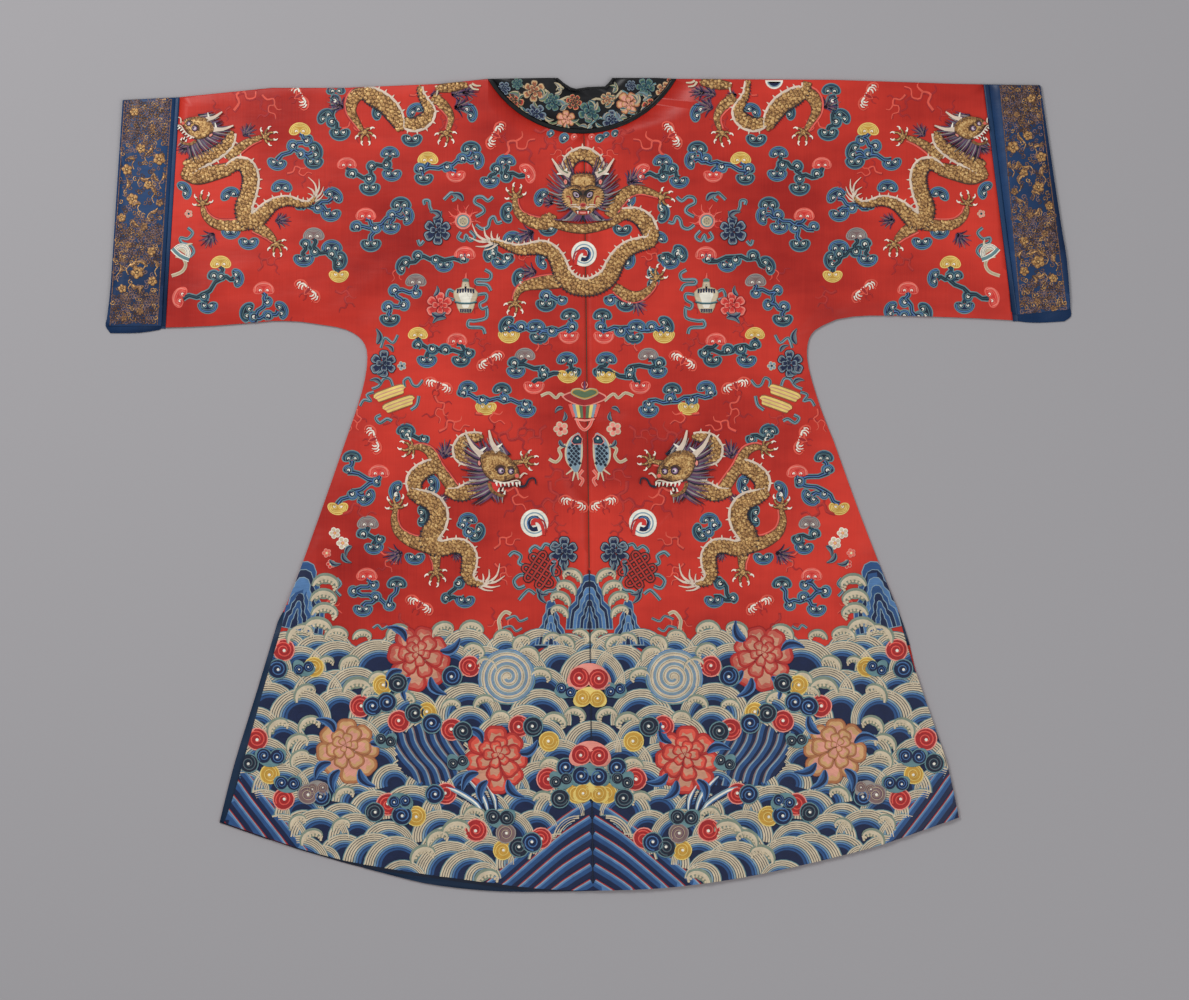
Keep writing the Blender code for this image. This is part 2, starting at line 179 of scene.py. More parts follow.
def new_group(name, inputs):
    """A node group with named inputs, and Colour, Roughness and Height as its outputs."""
    tree = bpy.data.node_groups.new(name, "ShaderNodeTree")
    for label, kind, value in inputs:
        socket = tree.interface.new_socket(label, in_out="INPUT", socket_type="NodeSocket" + kind)
        socket.default_value = value
    for label, kind in (("Colour", "Color"), ("Roughness", "Float"), ("Height", "Float")):
        tree.interface.new_socket(label, in_out="OUTPUT", socket_type="NodeSocket" + kind)
    given = tree.nodes.new("NodeGroupInput").outputs
    return tree, given, tree.nodes.new("NodeGroupOutput").inputs


def material(name, group, values, bump, **constants):
    """A Principled material fed by a group. Constants go on the shader's own sockets."""
    made = bpy.data.materials.new(name)
    made.use_nodes = True
    tree = made.node_tree
    shader = tree.nodes["Principled BSDF"]
    source = tree.nodes.new("ShaderNodeGroup")
    source.node_tree = group
    for key, value in values.items():
        source.inputs[key].default_value = value
    tree.links.new(source.outputs["Colour"], shader.inputs["Base Color"])
    tree.links.new(source.outputs["Roughness"], shader.inputs["Roughness"])
    relief = node(tree, "Bump", Height=source.outputs["Height"], Strength=1.0, Distance=bump * MM)
    tree.links.new(relief.outputs[0], shader.inputs["Normal"])
    for key, value in constants.items():
        shader.inputs[key.replace("_", " ")].default_value = value
    return made


# %% Silk satin group
def make_satin_group():
    """Broad patches of painted sheen and shade, painted shade along the small wrinkles, and fine warp and
    weft lines.
    """
    tree, given, gives = new_group(
        "silk_satin",
        (("Deep", "Color", linear((150, 25, 20))), ("Bright", "Color", linear((200, 60, 50)))),
    )
    place = node(tree, "TexCoord").outputs["Object"]
    broad = noise(tree, place, 4.0, 5.0)
    warp = noise(tree, place, (700.0, 12.0, 12.0))
    weft = noise(tree, place, (25.0, 1300.0, 25.0))
    wrinkle_and_crease_shade = noise(tree, place, (14.0, 46.0, 14.0), 3.0)
    # painted sheen and shade: broad patches make the satin lighter and darker as its sheen would, and the
    # wrinkles that bump the cloth also darken and lighten its colour
    patch = node(tree, "MapRange", Value=broad, n1=0.36, n2=0.64).outputs[0]
    fine = maths(tree, "ADD", maths(tree, "MULTIPLY", warp, 0.3), maths(tree, "MULTIPLY", wrinkle_and_crease_shade, 0.5))
    shade = maths(tree, "SUBTRACT", maths(tree, "ADD", maths(tree, "MULTIPLY", patch, 0.75), fine), 0.25)
    tree.links.new(mixed(tree, shade, given["Deep"], given["Bright"]), gives["Colour"])
    rough = maths(tree, "ADD", maths(tree, "MULTIPLY", broad, 0.2), 0.30)
    tree.links.new(rough, gives["Roughness"])
    threads = maths(tree, "ADD", warp, maths(tree, "MULTIPLY", weft, 0.6))
    tree.links.new(maths(tree, "ADD", threads, maths(tree, "MULTIPLY", wrinkle_and_crease_shade, 14.0)), gives["Height"])
    return tree


# %% Floss group
def make_floss_group():
    """Fine strands that run along the stitch's own lay, some lighter and some darker."""
    tree, given, gives = new_group(
        "silk_floss",
        (("Thread", "Color", linear((60, 90, 140))), ("Contrast", "Float", 0.6)),
    )
    place = node(tree, "TexCoord").outputs["Object"]
    lay = node(tree, "Attribute", {"attribute_name": "lay"}).outputs["Fac"]
    spin = {"rotation_type": "Z_AXIS", "invert": True}
    turned = node(tree, "VectorRotate", spin, Vector=place, Angle=lay).outputs[0]
    strand = noise(tree, turned, (90.0, 1300.0, 90.0))
    age = noise(tree, place, 70.0)
    uneven = maths(tree, "SUBTRACT", maths(tree, "ADD", strand, age), 1.0)
    gain = maths(tree, "ADD", maths(tree, "MULTIPLY", uneven, given["Contrast"]), 1.0)
    shaded = node(tree, "HueSaturation", Value=gain, Color=given["Thread"]).outputs[0]
    tree.links.new(shaded, gives["Colour"])
    tree.links.new(maths(tree, "ADD", maths(tree, "MULTIPLY", strand, 0.3), 0.35), gives["Roughness"])
    tree.links.new(strand, gives["Height"])
    return tree


# %% Gold thread group
def make_gold_group():
    """Couched gold: bright foil with brown core thread showing where it has rubbed off."""
    tree, given, gives = new_group(
        "gold_thread",
        (("Foil", "Color", linear((205, 160, 95))), ("Core", "Color", linear((120, 80, 40)))),
    )
    place = node(tree, "TexCoord").outputs["Object"]
    grain = noise(tree, place, 420.0, 1.0)
    worn = noise(tree, place, 90.0)
    bright = node(tree, "MapRange", Value=grain, n1=0.36, n2=0.66).outputs[0]
    kept = maths(tree, "MULTIPLY", bright, maths(tree, "ADD", worn, 0.45))
    tree.links.new(mixed(tree, kept, given["Core"], given["Foil"]), gives["Colour"])
    tree.links.new(maths(tree, "SUBTRACT", 0.62, maths(tree, "MULTIPLY", bright, 0.26)), gives["Roughness"])
    tree.links.new(grain, gives["Height"])
    return tree


SATIN = make_satin_group()
FLOSS = make_floss_group()
GOLD = make_gold_group()
print("finish groups:", SATIN.name, FLOSS.name, GOLD.name)

# %% [markdown]
# ## Thread colours
# The embroiderer worked with families of one hue, from dark to pale, and laid them side by
# side in bands. The table holds the colours of those families as they look today, faded a
# little by age. Gold threads differ in how much foil is left.

# %% Threads
THREADS = {
    # name: red, green, blue
    "white": (232, 226, 210),
    "cream": (202, 185, 157),
    "shell": (214, 194, 174),
    "sand": (176, 160, 128),
    "ash": (146, 138, 132),
    "sage": (122, 134, 118),
    "slate": (96, 100, 108),
    "sky": (128, 152, 164),
    "sea": (96, 130, 134),
    "blue": (36, 74, 122),
    "azure": (76, 116, 162),
    "navy": (8, 25, 62),
    "ink": (16, 26, 46),
    "teal": (28, 70, 78),
    "green": (86, 108, 78),
    "lemon": (224, 196, 110),
    "ochre": (192, 146, 56),
    "coral": (222, 96, 82),
    "rose": (226, 140, 124),
    "scarlet": (198, 44, 38),
    "crimson": (158, 30, 32),
    "brick": (176, 46, 38),
    "flame": (216, 84, 66),
    "blush": (216, 148, 128),
    "clay": (192, 92, 76),
    "dust": (198, 142, 114),
    "tan": (200, 154, 104),
    "caramel": (172, 112, 70),
    "rust": (146, 84, 56),
    "plum": (92, 56, 88),
    "lilac": (178, 152, 172),
    "taupe": (122, 96, 94),
    "umber": (70, 44, 30),
    "black": (14, 14, 16),
}
GOLDS = {
    # name: foil colour, core colour
    "gold": ((214, 168, 104), (132, 88, 44)),
    "pale_gold": ((232, 196, 132), (168, 120, 64)),
    "old_gold": ((168, 124, 72), (92, 58, 32)),
    "bronze": ((138, 100, 76), (76, 54, 50)),
}
FLOSS_BUMP = 0.10
GOLD_BUMP = 0.18

thread_materials = {}
for name, colour in THREADS.items():
    thread_materials[name] = material(
        "floss_" + name, FLOSS, {"Thread": linear(colour)}, FLOSS_BUMP, Specular_IOR_Level=0.35
    )
for name, (foil, core) in GOLDS.items():
    values = {"Foil": linear(foil), "Core": linear(core)}
    thread_materials[name] = material("thread_" + name, GOLD, values, GOLD_BUMP, Metallic=0.35)
THREAD_INDEX = {name: index for index, name in enumerate(thread_materials)}
print("threads:", len(thread_materials))

# %% Cloth finishes
CLOTHS = {
    # material: record's slot, deep colour of the painted shade, bright colour of the painted sheen
    "satin_red": ((148, 20, 14), (212, 54, 38)),
    "cuff_blue": ((14, 38, 72), (28, 64, 108)),
    "binding_blue": ((14, 36, 66), (26, 60, 98)),
    "facing_blue": ((10, 28, 50), (20, 48, 76)),
    "collar_black": ((4, 4, 7), (12, 12, 17)),
    "binding_black": ((4, 4, 5), (11, 11, 13)),
}
WEAVE_BUMP = 0.05

cloth_materials = {}
for name, (deep, bright) in CLOTHS.items():
    values = {"Deep": linear(deep), "Bright": linear(bright)}
    cloth_materials[name] = material("silk_" + name, SATIN, values, WEAVE_BUMP, Specular_IOR_Level=0.3)
print("cloths:", ", ".join(CLOTHS))

# %% [markdown]
# ## The board under the jacket
# A plain pale board. It isn't part of the jacket.

# %% Floor
FLOOR_SIZE = 8.0
FLOOR_DROP = 0.3
FLOOR_GREY = (163, 160, 162)

bm = bmesh.new()
bmesh.ops.create_grid(bm, x_segments=1, y_segments=1, size=FLOOR_SIZE / 2)
bmesh.ops.translate(bm, verts=bm.verts, vec=(0.0, 0.0, -FLOOR_DROP * MM))
floor = bpy.data.objects.new("floor", bpy.data.meshes.new("floor"))
bm.to_mesh(floor.data)
bm.free()
bpy.context.scene.collection.objects.link(floor)
paper = bpy.data.materials.new("board_paper")
paper.use_nodes = True
paper.node_tree.nodes["Principled BSDF"].inputs["Base Color"].default_value = linear(FLOOR_GREY)
paper.node_tree.nodes["Principled BSDF"].inputs["Roughness"].default_value = 0.9
floor.data.materials.append(paper)
print("board", FLOOR_SIZE, "m")

# %% [markdown]
# ## The cloth
# Each piece of cloth is a thin shell on its solid's own form: a merged copy of the solid's
# surface, cut finer on its upper layer, with the small creases laid on one by one. A crease is
# a soft ridge between two places, highest in its middle. A cloth simulation could find
# creases too, but it would move the edges, and here the outline must stay as it is.

# %% Creases
CREASES = (
    # start x, y, end x, y, half width, height
    (186, 300, 262, 262, 9, 1.1), (214, 318, 330, 292, 8, 1.3), (250, 240, 352, 228, 12, 0.9),
    (196, 150, 300, 120, 14, 0.8), (330, 318, 398, 262, 8, 1.4), (352, 332, 430, 300, 9, 1.2),
    (300, 180, 420, 196, 15, 0.8), (404, 120, 470, 150, 13, 0.7), (992, 306, 910, 268, 9, 1.1),
    (960, 318, 850, 296, 8, 1.2), (930, 236, 822, 226, 12, 0.9), (986, 160, 880, 128, 14, 0.8),
    (848, 320, 786, 262, 8, 1.3), (818, 340, 742, 306, 9, 1.1), (880, 190, 760, 206, 15, 0.8),
    (760, 126, 700, 152, 13, 0.6), (380, 400, 372, 500, 9, 1.0), (402, 380, 452, 470, 11, 0.7),
    (800, 404, 806, 512, 9, 1.0), (770, 392, 730, 470, 11, 0.7), (330, 500, 300, 640, 10, 0.9),
    (846, 500, 880, 640, 10, 0.9), (470, 420, 452, 600, 14, 0.7), (700, 420, 724, 600, 14, 0.7),
    (548, 330, 540, 470, 12, 0.6), (626, 340, 640, 480, 12, 0.6), (300, 690, 272, 800, 12, 1.0),
    (880, 690, 910, 800, 12, 1.0), (420, 700, 400, 850, 15, 0.8), (760, 690, 790, 850, 15, 0.8),
)
# ripples: wave lengths in metres along x and y, and heights in millimetres
RIPPLE_LENGTHS = ((0.31, 0.17), (0.19, 0.43), (0.11, 0.13))
RIPPLE_HEIGHT = 0.12
SEAM_HEIGHT = 2.9
FREE_HEIGHT = 4.0


def crease_heights(x, y):
    """Height in metres that the creases add at places given in metres, as arrays."""
    height = np.zeros(len(x))
    for x0, y0, x1, y1, half_width, top in CREASES:
        start = at(x0, y0) * PIXEL
        along = at(x1, y1) * PIXEL - start
        length = along.length
        share = ((x - start.x) * along.x + (y - start.y) * along.y) / length**2
        across = np.abs((x - start.x) * along.y - (y - start.y) * along.x) / length
        ends = np.clip(1.3 - np.abs(2 * share - 1), 0, 1)
        height += top * MM * ends**2 * (3 - 2 * ends) * np.exp(-((across / (half_width * PIXEL)) ** 2))
    for along_x, along_y in RIPPLE_LENGTHS:
        wave = np.sin(2 * math.pi * (x / along_x + 0.3)) * np.sin(2 * math.pi * (y / along_y + 0.1))
        height += RIPPLE_HEIGHT * MM * wave
    return height


print("creases:", len(CREASES))

# %% Shells
# heights and distances in millimetres
WALL = 1.2
UPPER_LAYER = 2.2
MERGE = 0.01
FACING_DOWN = -0.3
SHARP_ANGLE = math.radians(40)
SHELLS = {
    # node: slot, cuts, flat width, flat length and area of what shows
    "panel_left": ("satin_red", 3, 0.68, 2.36, 1.07),
    "panel_right": ("satin_red", 3, 0.68, 2.36, 1.07),
    "cuff_left": ("cuff_blue", 3, 0.090, 0.68, 0.053),
    "cuff_right": ("cuff_blue", 3, 0.090, 0.68, 0.053),
    "cuff_binding_left": ("binding_blue", 2, 0.0105, 0.67, 0.0048),
    "cuff_binding_right": ("binding_blue", 2, 0.0105, 0.68, 0.0059),
    "collar": ("collar_black", 2, 0.27, 0.22, 0.030),
    "collar_binding": ("binding_black", 2, 0.012, 0.47, 0.0056),
    "neck_binding": ("binding_black", 2, 0.010, 0.13, 0.0013),
    "facing_vent_left": ("facing_blue", 1, 0.031, 0.32, 0.0098),
    "facing_hem": ("facing_blue", 1, 0.028, 0.40, 0.0104),
    "facing_vent_right": ("facing_blue", 1, 0.0115, 0.14, 0.0015),
}


def make_shell(name, slot, cuts):
    """The solid's surface as cloth: merged, cut finer, creased and given its finish."""
    bm = bmesh.new()
    bm.from_mesh(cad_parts[name].data)
    bmesh.ops.remove_doubles(bm, verts=bm.verts, dist=MERGE * MM)
    if name.startswith("facing"):
        upper = list(bm.edges)
    else:
        upper = [e for e in bm.edges if min(v.co.z for v in e.verts) > UPPER_LAYER * MM]
    bmesh.ops.subdivide_edges(bm, edges=upper, cuts=cuts, use_grid_fill=True)
    bmesh.ops.triangulate(bm, faces=[f for f in bm.faces if len(f.verts) > 4])
    bm.normal_update()
    verts = list(bm.verts)
    x, y, z = (np.array([v.co[i] for v in verts]) for i in range(3))
    inner = np.array([v.normal.z < FACING_DOWN for v in verts])
    outer_z = z + np.where(inner, WALL * MM, 0.0)
    free = np.clip((outer_z / MM - SEAM_HEIGHT) / (FREE_HEIGHT - SEAM_HEIGHT), 0, 1)
    rise = crease_heights(x, y) * free**2 * (3 - 2 * free)
    for v, lift in zip(verts, rise):
        v.co.z += lift
    mesh = bpy.data.meshes.new("cloth_" + name)
    bm.to_mesh(mesh)
    bm.free()
    mesh.shade_smooth()
    mesh.set_sharp_from_angle(angle=SHARP_ANGLE)
    mesh.materials.append(cloth_materials[slot])
    shell = bpy.data.objects.new("cloth_" + name, mesh)
    bpy.context.scene.collection.objects.link(shell)
    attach(shell, "root")
    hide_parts(name)
    return shell


shells = {}
for name, (slot, cuts, width, length, area) in SHELLS.items():
    shells[name] = make_shell(name, slot, cuts)
    surface = sum(face.area for face in shells[name].data.polygons)
    print(name, len(shells[name].data.polygons), "faces,", round(surface / 2, 4), "square metres of cloth")

# %% [markdown]
# ## Laying thread on the cloth
# The sewing is drawn flat and then dropped straight down on the cloth, so it follows every
# crease. A ray finds the cloth under each point. Where a motif runs past an edge, as the
# real ones do at the hem and the cuffs, its outer points are pulled back to the edge.

# %% Drape
DOWN = Vector((0.0, 0.0, -1.0))
ABOVE = 0.1
FACING_UP = 0.2
SEAM_STEP = 0.4
EDGE_HALVINGS = 9


def upper_surface(*names, lowest=UPPER_LAYER):
    """A search tree of the upper faces of some shells, above a height in millimetres."""
    points, faces = [], []
    for name in names:
        mesh = shells[name].data
        first = len(points)
        points += [v.co.copy() for v in mesh.vertices]
        for face in mesh.polygons:
            if face.normal.z > FACING_UP and face.center.z > lowest * MM:
                faces.append([first + i for i in face.vertices])
    return BVHTree.FromPolygons(points, faces)


def cloth_top(tree, x, y):
    """Height of the cloth at a place, or None beside it. The seam's gap counts as cloth."""
    hit = tree.ray_cast(Vector((x, y, ABOVE)), DOWN)[0]
    if hit:
        return hit.z
    step = SEAM_STEP * MM
    left = tree.ray_cast(Vector((x - step, y, ABOVE)), DOWN)[0]
    right = tree.ray_cast(Vector((x + step, y, ABOVE)), DOWN)[0]
    return max(left.z, right.z) if left and right else None


def lay_on_cloth(bm, tree):
    """Drop flat sewing on the cloth, and pull what reaches past the edge back to it."""
    tops = {v: cloth_top(tree, v.co.x, v.co.y) for v in bm.verts}
    lost = [f for f in bm.faces if all(tops[v] is None for v in f.verts)]
    bmesh.ops.delete(bm, geom=lost, context="FACES")
    for v in bm.verts:
        if tops[v] is not None:
            v.co.z += tops[v]
            continue
        near = next(u for f in v.link_faces for u in f.verts if tops[u] is not None)
        inside, outside = near.co.xy, v.co.xy
        for _ in range(EDGE_HALVINGS):
            middle = (inside + outside) / 2
            if cloth_top(tree, middle.x, middle.y) is None:
                outside = middle
            else:
                inside = middle
        v.co.x, v.co.y = inside
        v.co.z += cloth_top(tree, inside.x, inside.y)


satin_top = upper_surface("panel_left", "panel_right")
cuff_top = upper_surface("cuff_left", "cuff_right")
collar_top = upper_surface("collar")
print("cloth found at the middle:", round(cloth_top(satin_top, 0.0, 0.0) / MM, 2), "mm")

# %% [markdown]
# ## Two kinds of stitch
# Nearly all of the sewing is one of two things. A fill is a patch on an outline, worked in
# bands of thread that follow the outline inward: Blender's inset makes one band at a time
# and lifts it. A band is threads laid side by side along a path, such as a stem, a wave or
# a dragon's body: a grid is bent along the path, with a foot all round that meets the cloth.

# %% Paths and outlines
def curve(points, steps, closed=False):
    """Points along one smooth curve through the given ones, which may carry a width too."""
    knots = [Vector((*p, 0.0)[:3]) for p in points]
    count = len(knots)
    path = []
    for i in range(count if closed else count - 1):
        start, end = knots[i], knots[(i + 1) % count]
        before = knots[(i - 1) % count] if closed else knots[max(i - 1, 0)]
        after = knots[(i + 2) % count] if closed else knots[min(i + 2, count - 1)]
        leave, arrive = start + (end - before) / 6, end - (after - start) / 6
        path += interpolate_bezier(start, leave, arrive, end, steps + 1)[:-1]
    if not closed:
        path.append(knots[-1])
    return path


def smooth(points, steps=4, closed=False):
    """Places along one smooth curve through the given ones."""
    return [p.xy for p in curve(points, steps, closed)]


def trail(rows, pitch):
    """Even places along a smooth curve through rows of x, y and width, and the widths there."""
    path = np.array([tuple(p) for p in curve(rows, 8)])
    gaps = np.hypot(*np.diff(path[:, :2], axis=0).T)
    lengths = np.concatenate(([0.0], np.cumsum(gaps)))
    stops = np.linspace(0.0, lengths[-1], max(int(round(lengths[-1] / pitch)), 2) + 1)
    x, y, width = (np.interp(stops, lengths, path[:, i]) for i in range(3))
    return [Vector(p) for p in zip(x, y)], list(width)


def arc(centre, radius, start, end, steps, tall=1.0):
    """Points round a centre from one angle to another, in degrees."""
    angles = [math.radians(start + (end - start) * i / steps) for i in range(steps + 1)]
    ways = [(math.cos(a), math.sin(a)) for a in angles]
    return [Vector((centre[0] + radius * right, centre[1] + radius * tall * up)) for right, up in ways]


def disc(centre, radius, sides=10):
    """The outline of a round patch."""
    return arc(centre, radius, 0, 360, sides)[:-1]


def both_sides(half):
    """A closed outline from its right half, which starts and ends on the middle line."""
    return list(half) + [(-x, y) for x, y in reversed(half) if x > 0]


def flipped(side, points):
    """Points drawn on the right, kept for side 1 and mirrored for side -1."""
    return [(x * side, y) for x, y in points]


def around(middle, points, tilt=Matrix.Identity(2)):
    """Points drawn round zero, put round a middle and turned about it."""
    return [middle + tilt @ Vector(p) for p in points]


def blob(points):
    """A smooth closed outline through some points."""
    return smooth(points, 2, closed=True)


def ray(degrees):
    """A step of length one in a direction."""
    angle = math.radians(degrees)
    return Vector((math.cos(angle), math.sin(angle)))


def way_at(path, k):
    """The way that a path runs at one of its points."""
    return (path[min(k + 1, len(path) - 1)] - path[max(k - 1, 0)]).normalized()


def leftward(along):
    """The direction to the left of a way."""
    return Vector((-along.y, along.x))


print("a round outline has", len(disc((0, 0), 1.0)), "points")

# %% Fills, bands and stamps
FOOT = -0.15
PAD_EDGE = 0.2
CREST_ANGLE = math.radians(50)


def thread_number(thread):
    """A thread's place in the list of materials. A motif's own parts are numbers already."""
    return thread if isinstance(thread, int) else THREAD_INDEX[thread]


class Sewing:
    """A piece of embroidery while it is drawn, in pixels across and millimetres up."""

    def __init__(self):
        self.bm = bmesh.new()
        self.bm.faces.layers.float.new("lay")

    def add(self, bm):
        """Take in the faces of a smaller drawing."""
        mesh = bpy.data.meshes.new("stitches")
        bm.to_mesh(mesh)
        bm.free()
        self.bm.from_mesh(mesh)
        bpy.data.meshes.remove(mesh)

    def fill(self, outline, bands, lift=0.5, lay=0.0):
        """A patch on an outline. Bands from the edge inward: thread, width, rise."""
        bm = bmesh.new()
        layer = bm.faces.layers.float.new("lay")
        face = bm.faces.new([bm.verts.new((p[0], p[1], FOOT)) for p in outline])
        bm.normal_update()
        if face.normal.z < 0:
            face.normal_flip()
        steps = [(bands[0][0], PAD_EDGE, lift - FOOT)] + list(bands)
        for thread, width, rise in steps[:-1]:
            face.material_index = thread_number(thread)
            bmesh.ops.inset_region(
                bm, faces=[face], thickness=width, depth=rise, use_even_offset=True, use_boundary=True
            )
        face.material_index = thread_number(bands[-1][0])
        for f in bm.faces:
            f[layer] = lay
        self.add(bm)

    def band(self, path, threads, width, lift=0.4, crown=0.4, tilt=0.0, across=False, hidden=None):
        """Threads side by side along a path, from its right side to its left.

        threads: thread, share of the width, rise at its far edge. tilt raises the right
        side. across lays the stitches over the band instead of along it. hidden tells
        whether a place is covered by other work, and the band is left out there.
        """
        count = len(path)
        widths = width if hasattr(width, "__len__") else [width] * count
        total = sum(share for _, share, _ in threads)
        borders = [(0.0, 0.0)]
        for _, share, rise in threads:
            borders.append((borders[-1][0] + share / total, rise))
        bm = bmesh.new()
        layer = bm.faces.layers.float.new("lay")
        bmesh.ops.create_grid(bm, x_segments=count + 1, y_segments=len(threads) + 2, size=1.0)
        verts = iter(list(bm.verts))
        normals = [leftward(way_at(path, k)) for k in range(count)]
        for j in range(len(threads) + 3):
            share, rise = borders[min(max(j - 1, 0), len(threads))]
            height = lift + rise + crown * (1 - (2 * share - 1) ** 2) + tilt * (1 - share)
            for i in range(count + 2):
                k = min(max(i - 1, 0), count - 1)
                edge = i in (0, count + 1) or j in (0, len(threads) + 2)
                place = path[k] + normals[k] * widths[k] * (share - 0.5)
                next(verts).co = (place.x, place.y, FOOT if edge else height)
        turn = math.pi / 2 if across else 0.0
        for number, face in enumerate(bm.faces):
            j, i = divmod(number, count + 1)
            side = normals[min(max(i - 1, 0), count - 1)]
            face[layer] = math.atan2(-side.x, side.y) + turn
            face.material_index = thread_number(threads[min(max(j - 1, 0), len(threads) - 1)][0])
        if hidden:
            lost = [face for face in bm.faces if hidden(face.calc_center_median().xy)]
            bmesh.ops.delete(bm, geom=lost, context="FACES")
        self.add(bm)

    def stamp(self, motif, place, size=1.0, turn=0.0, flip=False, lift=0.0, threads=()):
        """Sew a motif that was drawn once. threads gives a thread for each of its parts."""
        mesh = motif.copy()
        side = -1.0 if flip else 1.0
        shape = Matrix.Diagonal((size * side, size, 1.0, 1.0))
        angle = math.radians(turn)
        turned = Matrix.Translation((place[0], place[1], lift)) @ Matrix.Rotation(angle, 4, "Z")
        mesh.transform(turned @ shape)
        if flip:
            mesh.flip_normals()
        count = len(mesh.polygons)
        lays = np.zeros(count, np.float32)
        mesh.attributes["lay"].data.foreach_get("value", lays)
        mesh.attributes["lay"].data.foreach_set("value", lays * side + angle)
        if threads:
            parts = np.zeros(count, np.int32)
            mesh.polygons.foreach_get("material_index", parts)
            numbers = np.array([thread_number(t) for t in threads], np.int32)
            mesh.polygons.foreach_set("material_index", numbers[parts])
        self.bm.from_mesh(mesh)
        bpy.data.meshes.remove(mesh)

    def motif(self, name):
        """Keep the drawing as a motif that can be stamped."""
        mesh = bpy.data.meshes.new("motif_" + name)
        self.bm.to_mesh(mesh)
        self.bm.free()
        return mesh

    def finish(self, name, tree=satin_top):
        """Scale the drawing to metres, lay it on the cloth and make it a piece."""
        bmesh.ops.scale(self.bm, verts=self.bm.verts, vec=(PIXEL, PIXEL, MM))
        lay_on_cloth(self.bm, tree)
        mesh = bpy.data.meshes.new(name)
        self.bm.to_mesh(mesh)
        self.bm.free()
        count = len(mesh.polygons)
        numbers = np.zeros(count, np.int32)
        mesh.polygons.foreach_get("material_index", numbers)
        used, places = np.unique(numbers, return_inverse=True)
        made = list(thread_materials.values())
        for number in used:
            mesh.materials.append(made[number])
        mesh.polygons.foreach_set("material_index", places.astype(np.int32))
        mesh.shade_smooth()
        mesh.set_sharp_from_angle(angle=CREST_ANGLE)
        piece = bpy.data.objects.new(name, mesh)
        bpy.context.scene.collection.objects.link(piece)
        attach(piece, "root")
        triangles = sum(len(f.vertices) - 2 for f in mesh.polygons)
        print(name, triangles, "triangles,", len(used), "threads")
        return piece


def strand(work, points, thread, start, end, lift, steps=3, crown=0.3):
    """One tapering thread through some points."""
    path = smooth(points, steps)
    widths = [start + (end - start) * i / (len(path) - 1) for i in range(len(path))]
    work.band(path, ((thread, 1.0, 0.0),), widths, lift, crown)


def strands(work, table, place=Vector, steps=3):
    """Strands from a table. Each row: thread, widths at both ends, lift, and then its points."""
    for thread, start, end, lift, *points in table:
        strand(work, [place(p) for p in points], thread, start, end, lift, steps)


print("an edge of sewing starts", -FOOT, "mm under the top of the cloth")

# %% [markdown]
# ## Clouds
# Clouds are mushroom heads with two curls, joined by short stems. Each head is worked in
# bands: a pale outline, a dark band, a middle one, and a white knot in each curl. Heads and
# curls are drawn once as motifs, and every cloud stamps them in its own family of threads.

# %% Cloud motifs
CLOUD_THREADS = {
    # family: outline, dark, middle, light, knot
    "blue": ("sea", "navy", "azure", "blue", "white"),
    "teal": ("sea", "ink", "teal", "blue", "white"),
    "yellow": ("lemon", "ochre", "lemon", "ochre", "white"),
    "pink": ("coral", "scarlet", "coral", "rose", "white"),
    "grey": ("ash", "taupe", "ash", "slate", "white"),
    "red": ("rose", "crimson", "coral", "scarlet", "white"),
    "dark": ("sea", "ink", "slate", "teal", "white"),
    "plum": ("ash", "taupe", "sand", "plum", "white"),
}
HEAD_HALF = (
    # x, y from the middle of the head's top to the notch under it
    (0.0, 7.2), (3.4, 6.7), (6.9, 4.9), (9.6, 1.7), (10.6, -2.0), (8.9, -4.8), (5.8, -5.5), (2.8, -5.0),
    (0.9, -3.4), (0.0, -2.8),
)


def draw_curl(work, centre, size, lift, side):
    """A curl: a dark round, a pale thread that winds in, and a white comma at its end."""
    def spots(*points):
        return [(centre[0] + x * size * side, centre[1] + y * size) for x, y in points]

    work.fill(disc(centre, 3.5 * size, 11), ((1, 0, 0),), lift)
    way = spots((3.4, -2.6), (3.7, 0.4), (1.8, 3.2), (-1.6, 3.0), (-3.2, 0.4), (-2.2, -2.6), (0.6, -3.0))
    strand(work, way, 0, 0.95 * size, 0.8 * size, lift + 0.1, 2, 0.1)
    comma = spots((-1.2, -1.2), (-1.3, 0.5), (0.2, 1.2), (1.0, 0.2), (0.4, -0.7))
    strand(work, comma, 4, 0.6 * size, 1.9 * size, lift + 0.2, 2, 0.2)


def dome(reach, top, foot):
    """A path over a head's dome, from its left to its right."""
    half = ((reach, foot), (reach * 0.93, top * 0.36), (reach * 0.58, top * 0.84), (0, top))
    return smooth([(-x, y) for x, y in half] + [(x, y) for x, y in reversed(half[:-1])], 2)


def draw_base(outline):
    """The pale ground of a head or a curl, whose edge stays in view as its outline."""
    work = Sewing()
    work.fill(blob(outline), ((0, 0, 0),), 0.45)
    return work


def draw_head():
    """The inside of a cloud's head, its dome upward and its two curls under it."""
    work = Sewing()
    inner = [(x * 0.9, y * 0.84 + 0.1) for x, y in both_sides(HEAD_HALF)]
    work.fill(blob(inner), ((1, 0, 0),), 0.65)
    work.band(dome(8.2, 4.9, -2.8), ((2, 0.6, 0.0), (3, 0.4, 0.0)), 1.4, 0.75, 0.1)
    work.band(dome(6.6, 3.1, -2.0), ((0, 1.0, 0.0),), 0.6, 0.8, 0.1)
    for side in (-1, 1):
        draw_curl(work, (3.4 * side, -1.6), 0.78, 0.82, side)
    return work.motif("cloud_head")


def draw_single():
    """The inside of a single curl, for the joints of a cloud."""
    work = Sewing()
    work.fill(blob([(x * 0.82, y * 0.82) for x, y in SINGLE]), ((1, 0, 0),), 0.65)
    work.band(dome(3.9, 3.3, -1.0), ((2, 0.6, 0.0), (3, 0.4, 0.0)), 1.1, 0.75, 0.1)
    draw_curl(work, (0.2, -0.8), 0.86, 0.8, 1)
    return work.motif("cloud_curl")


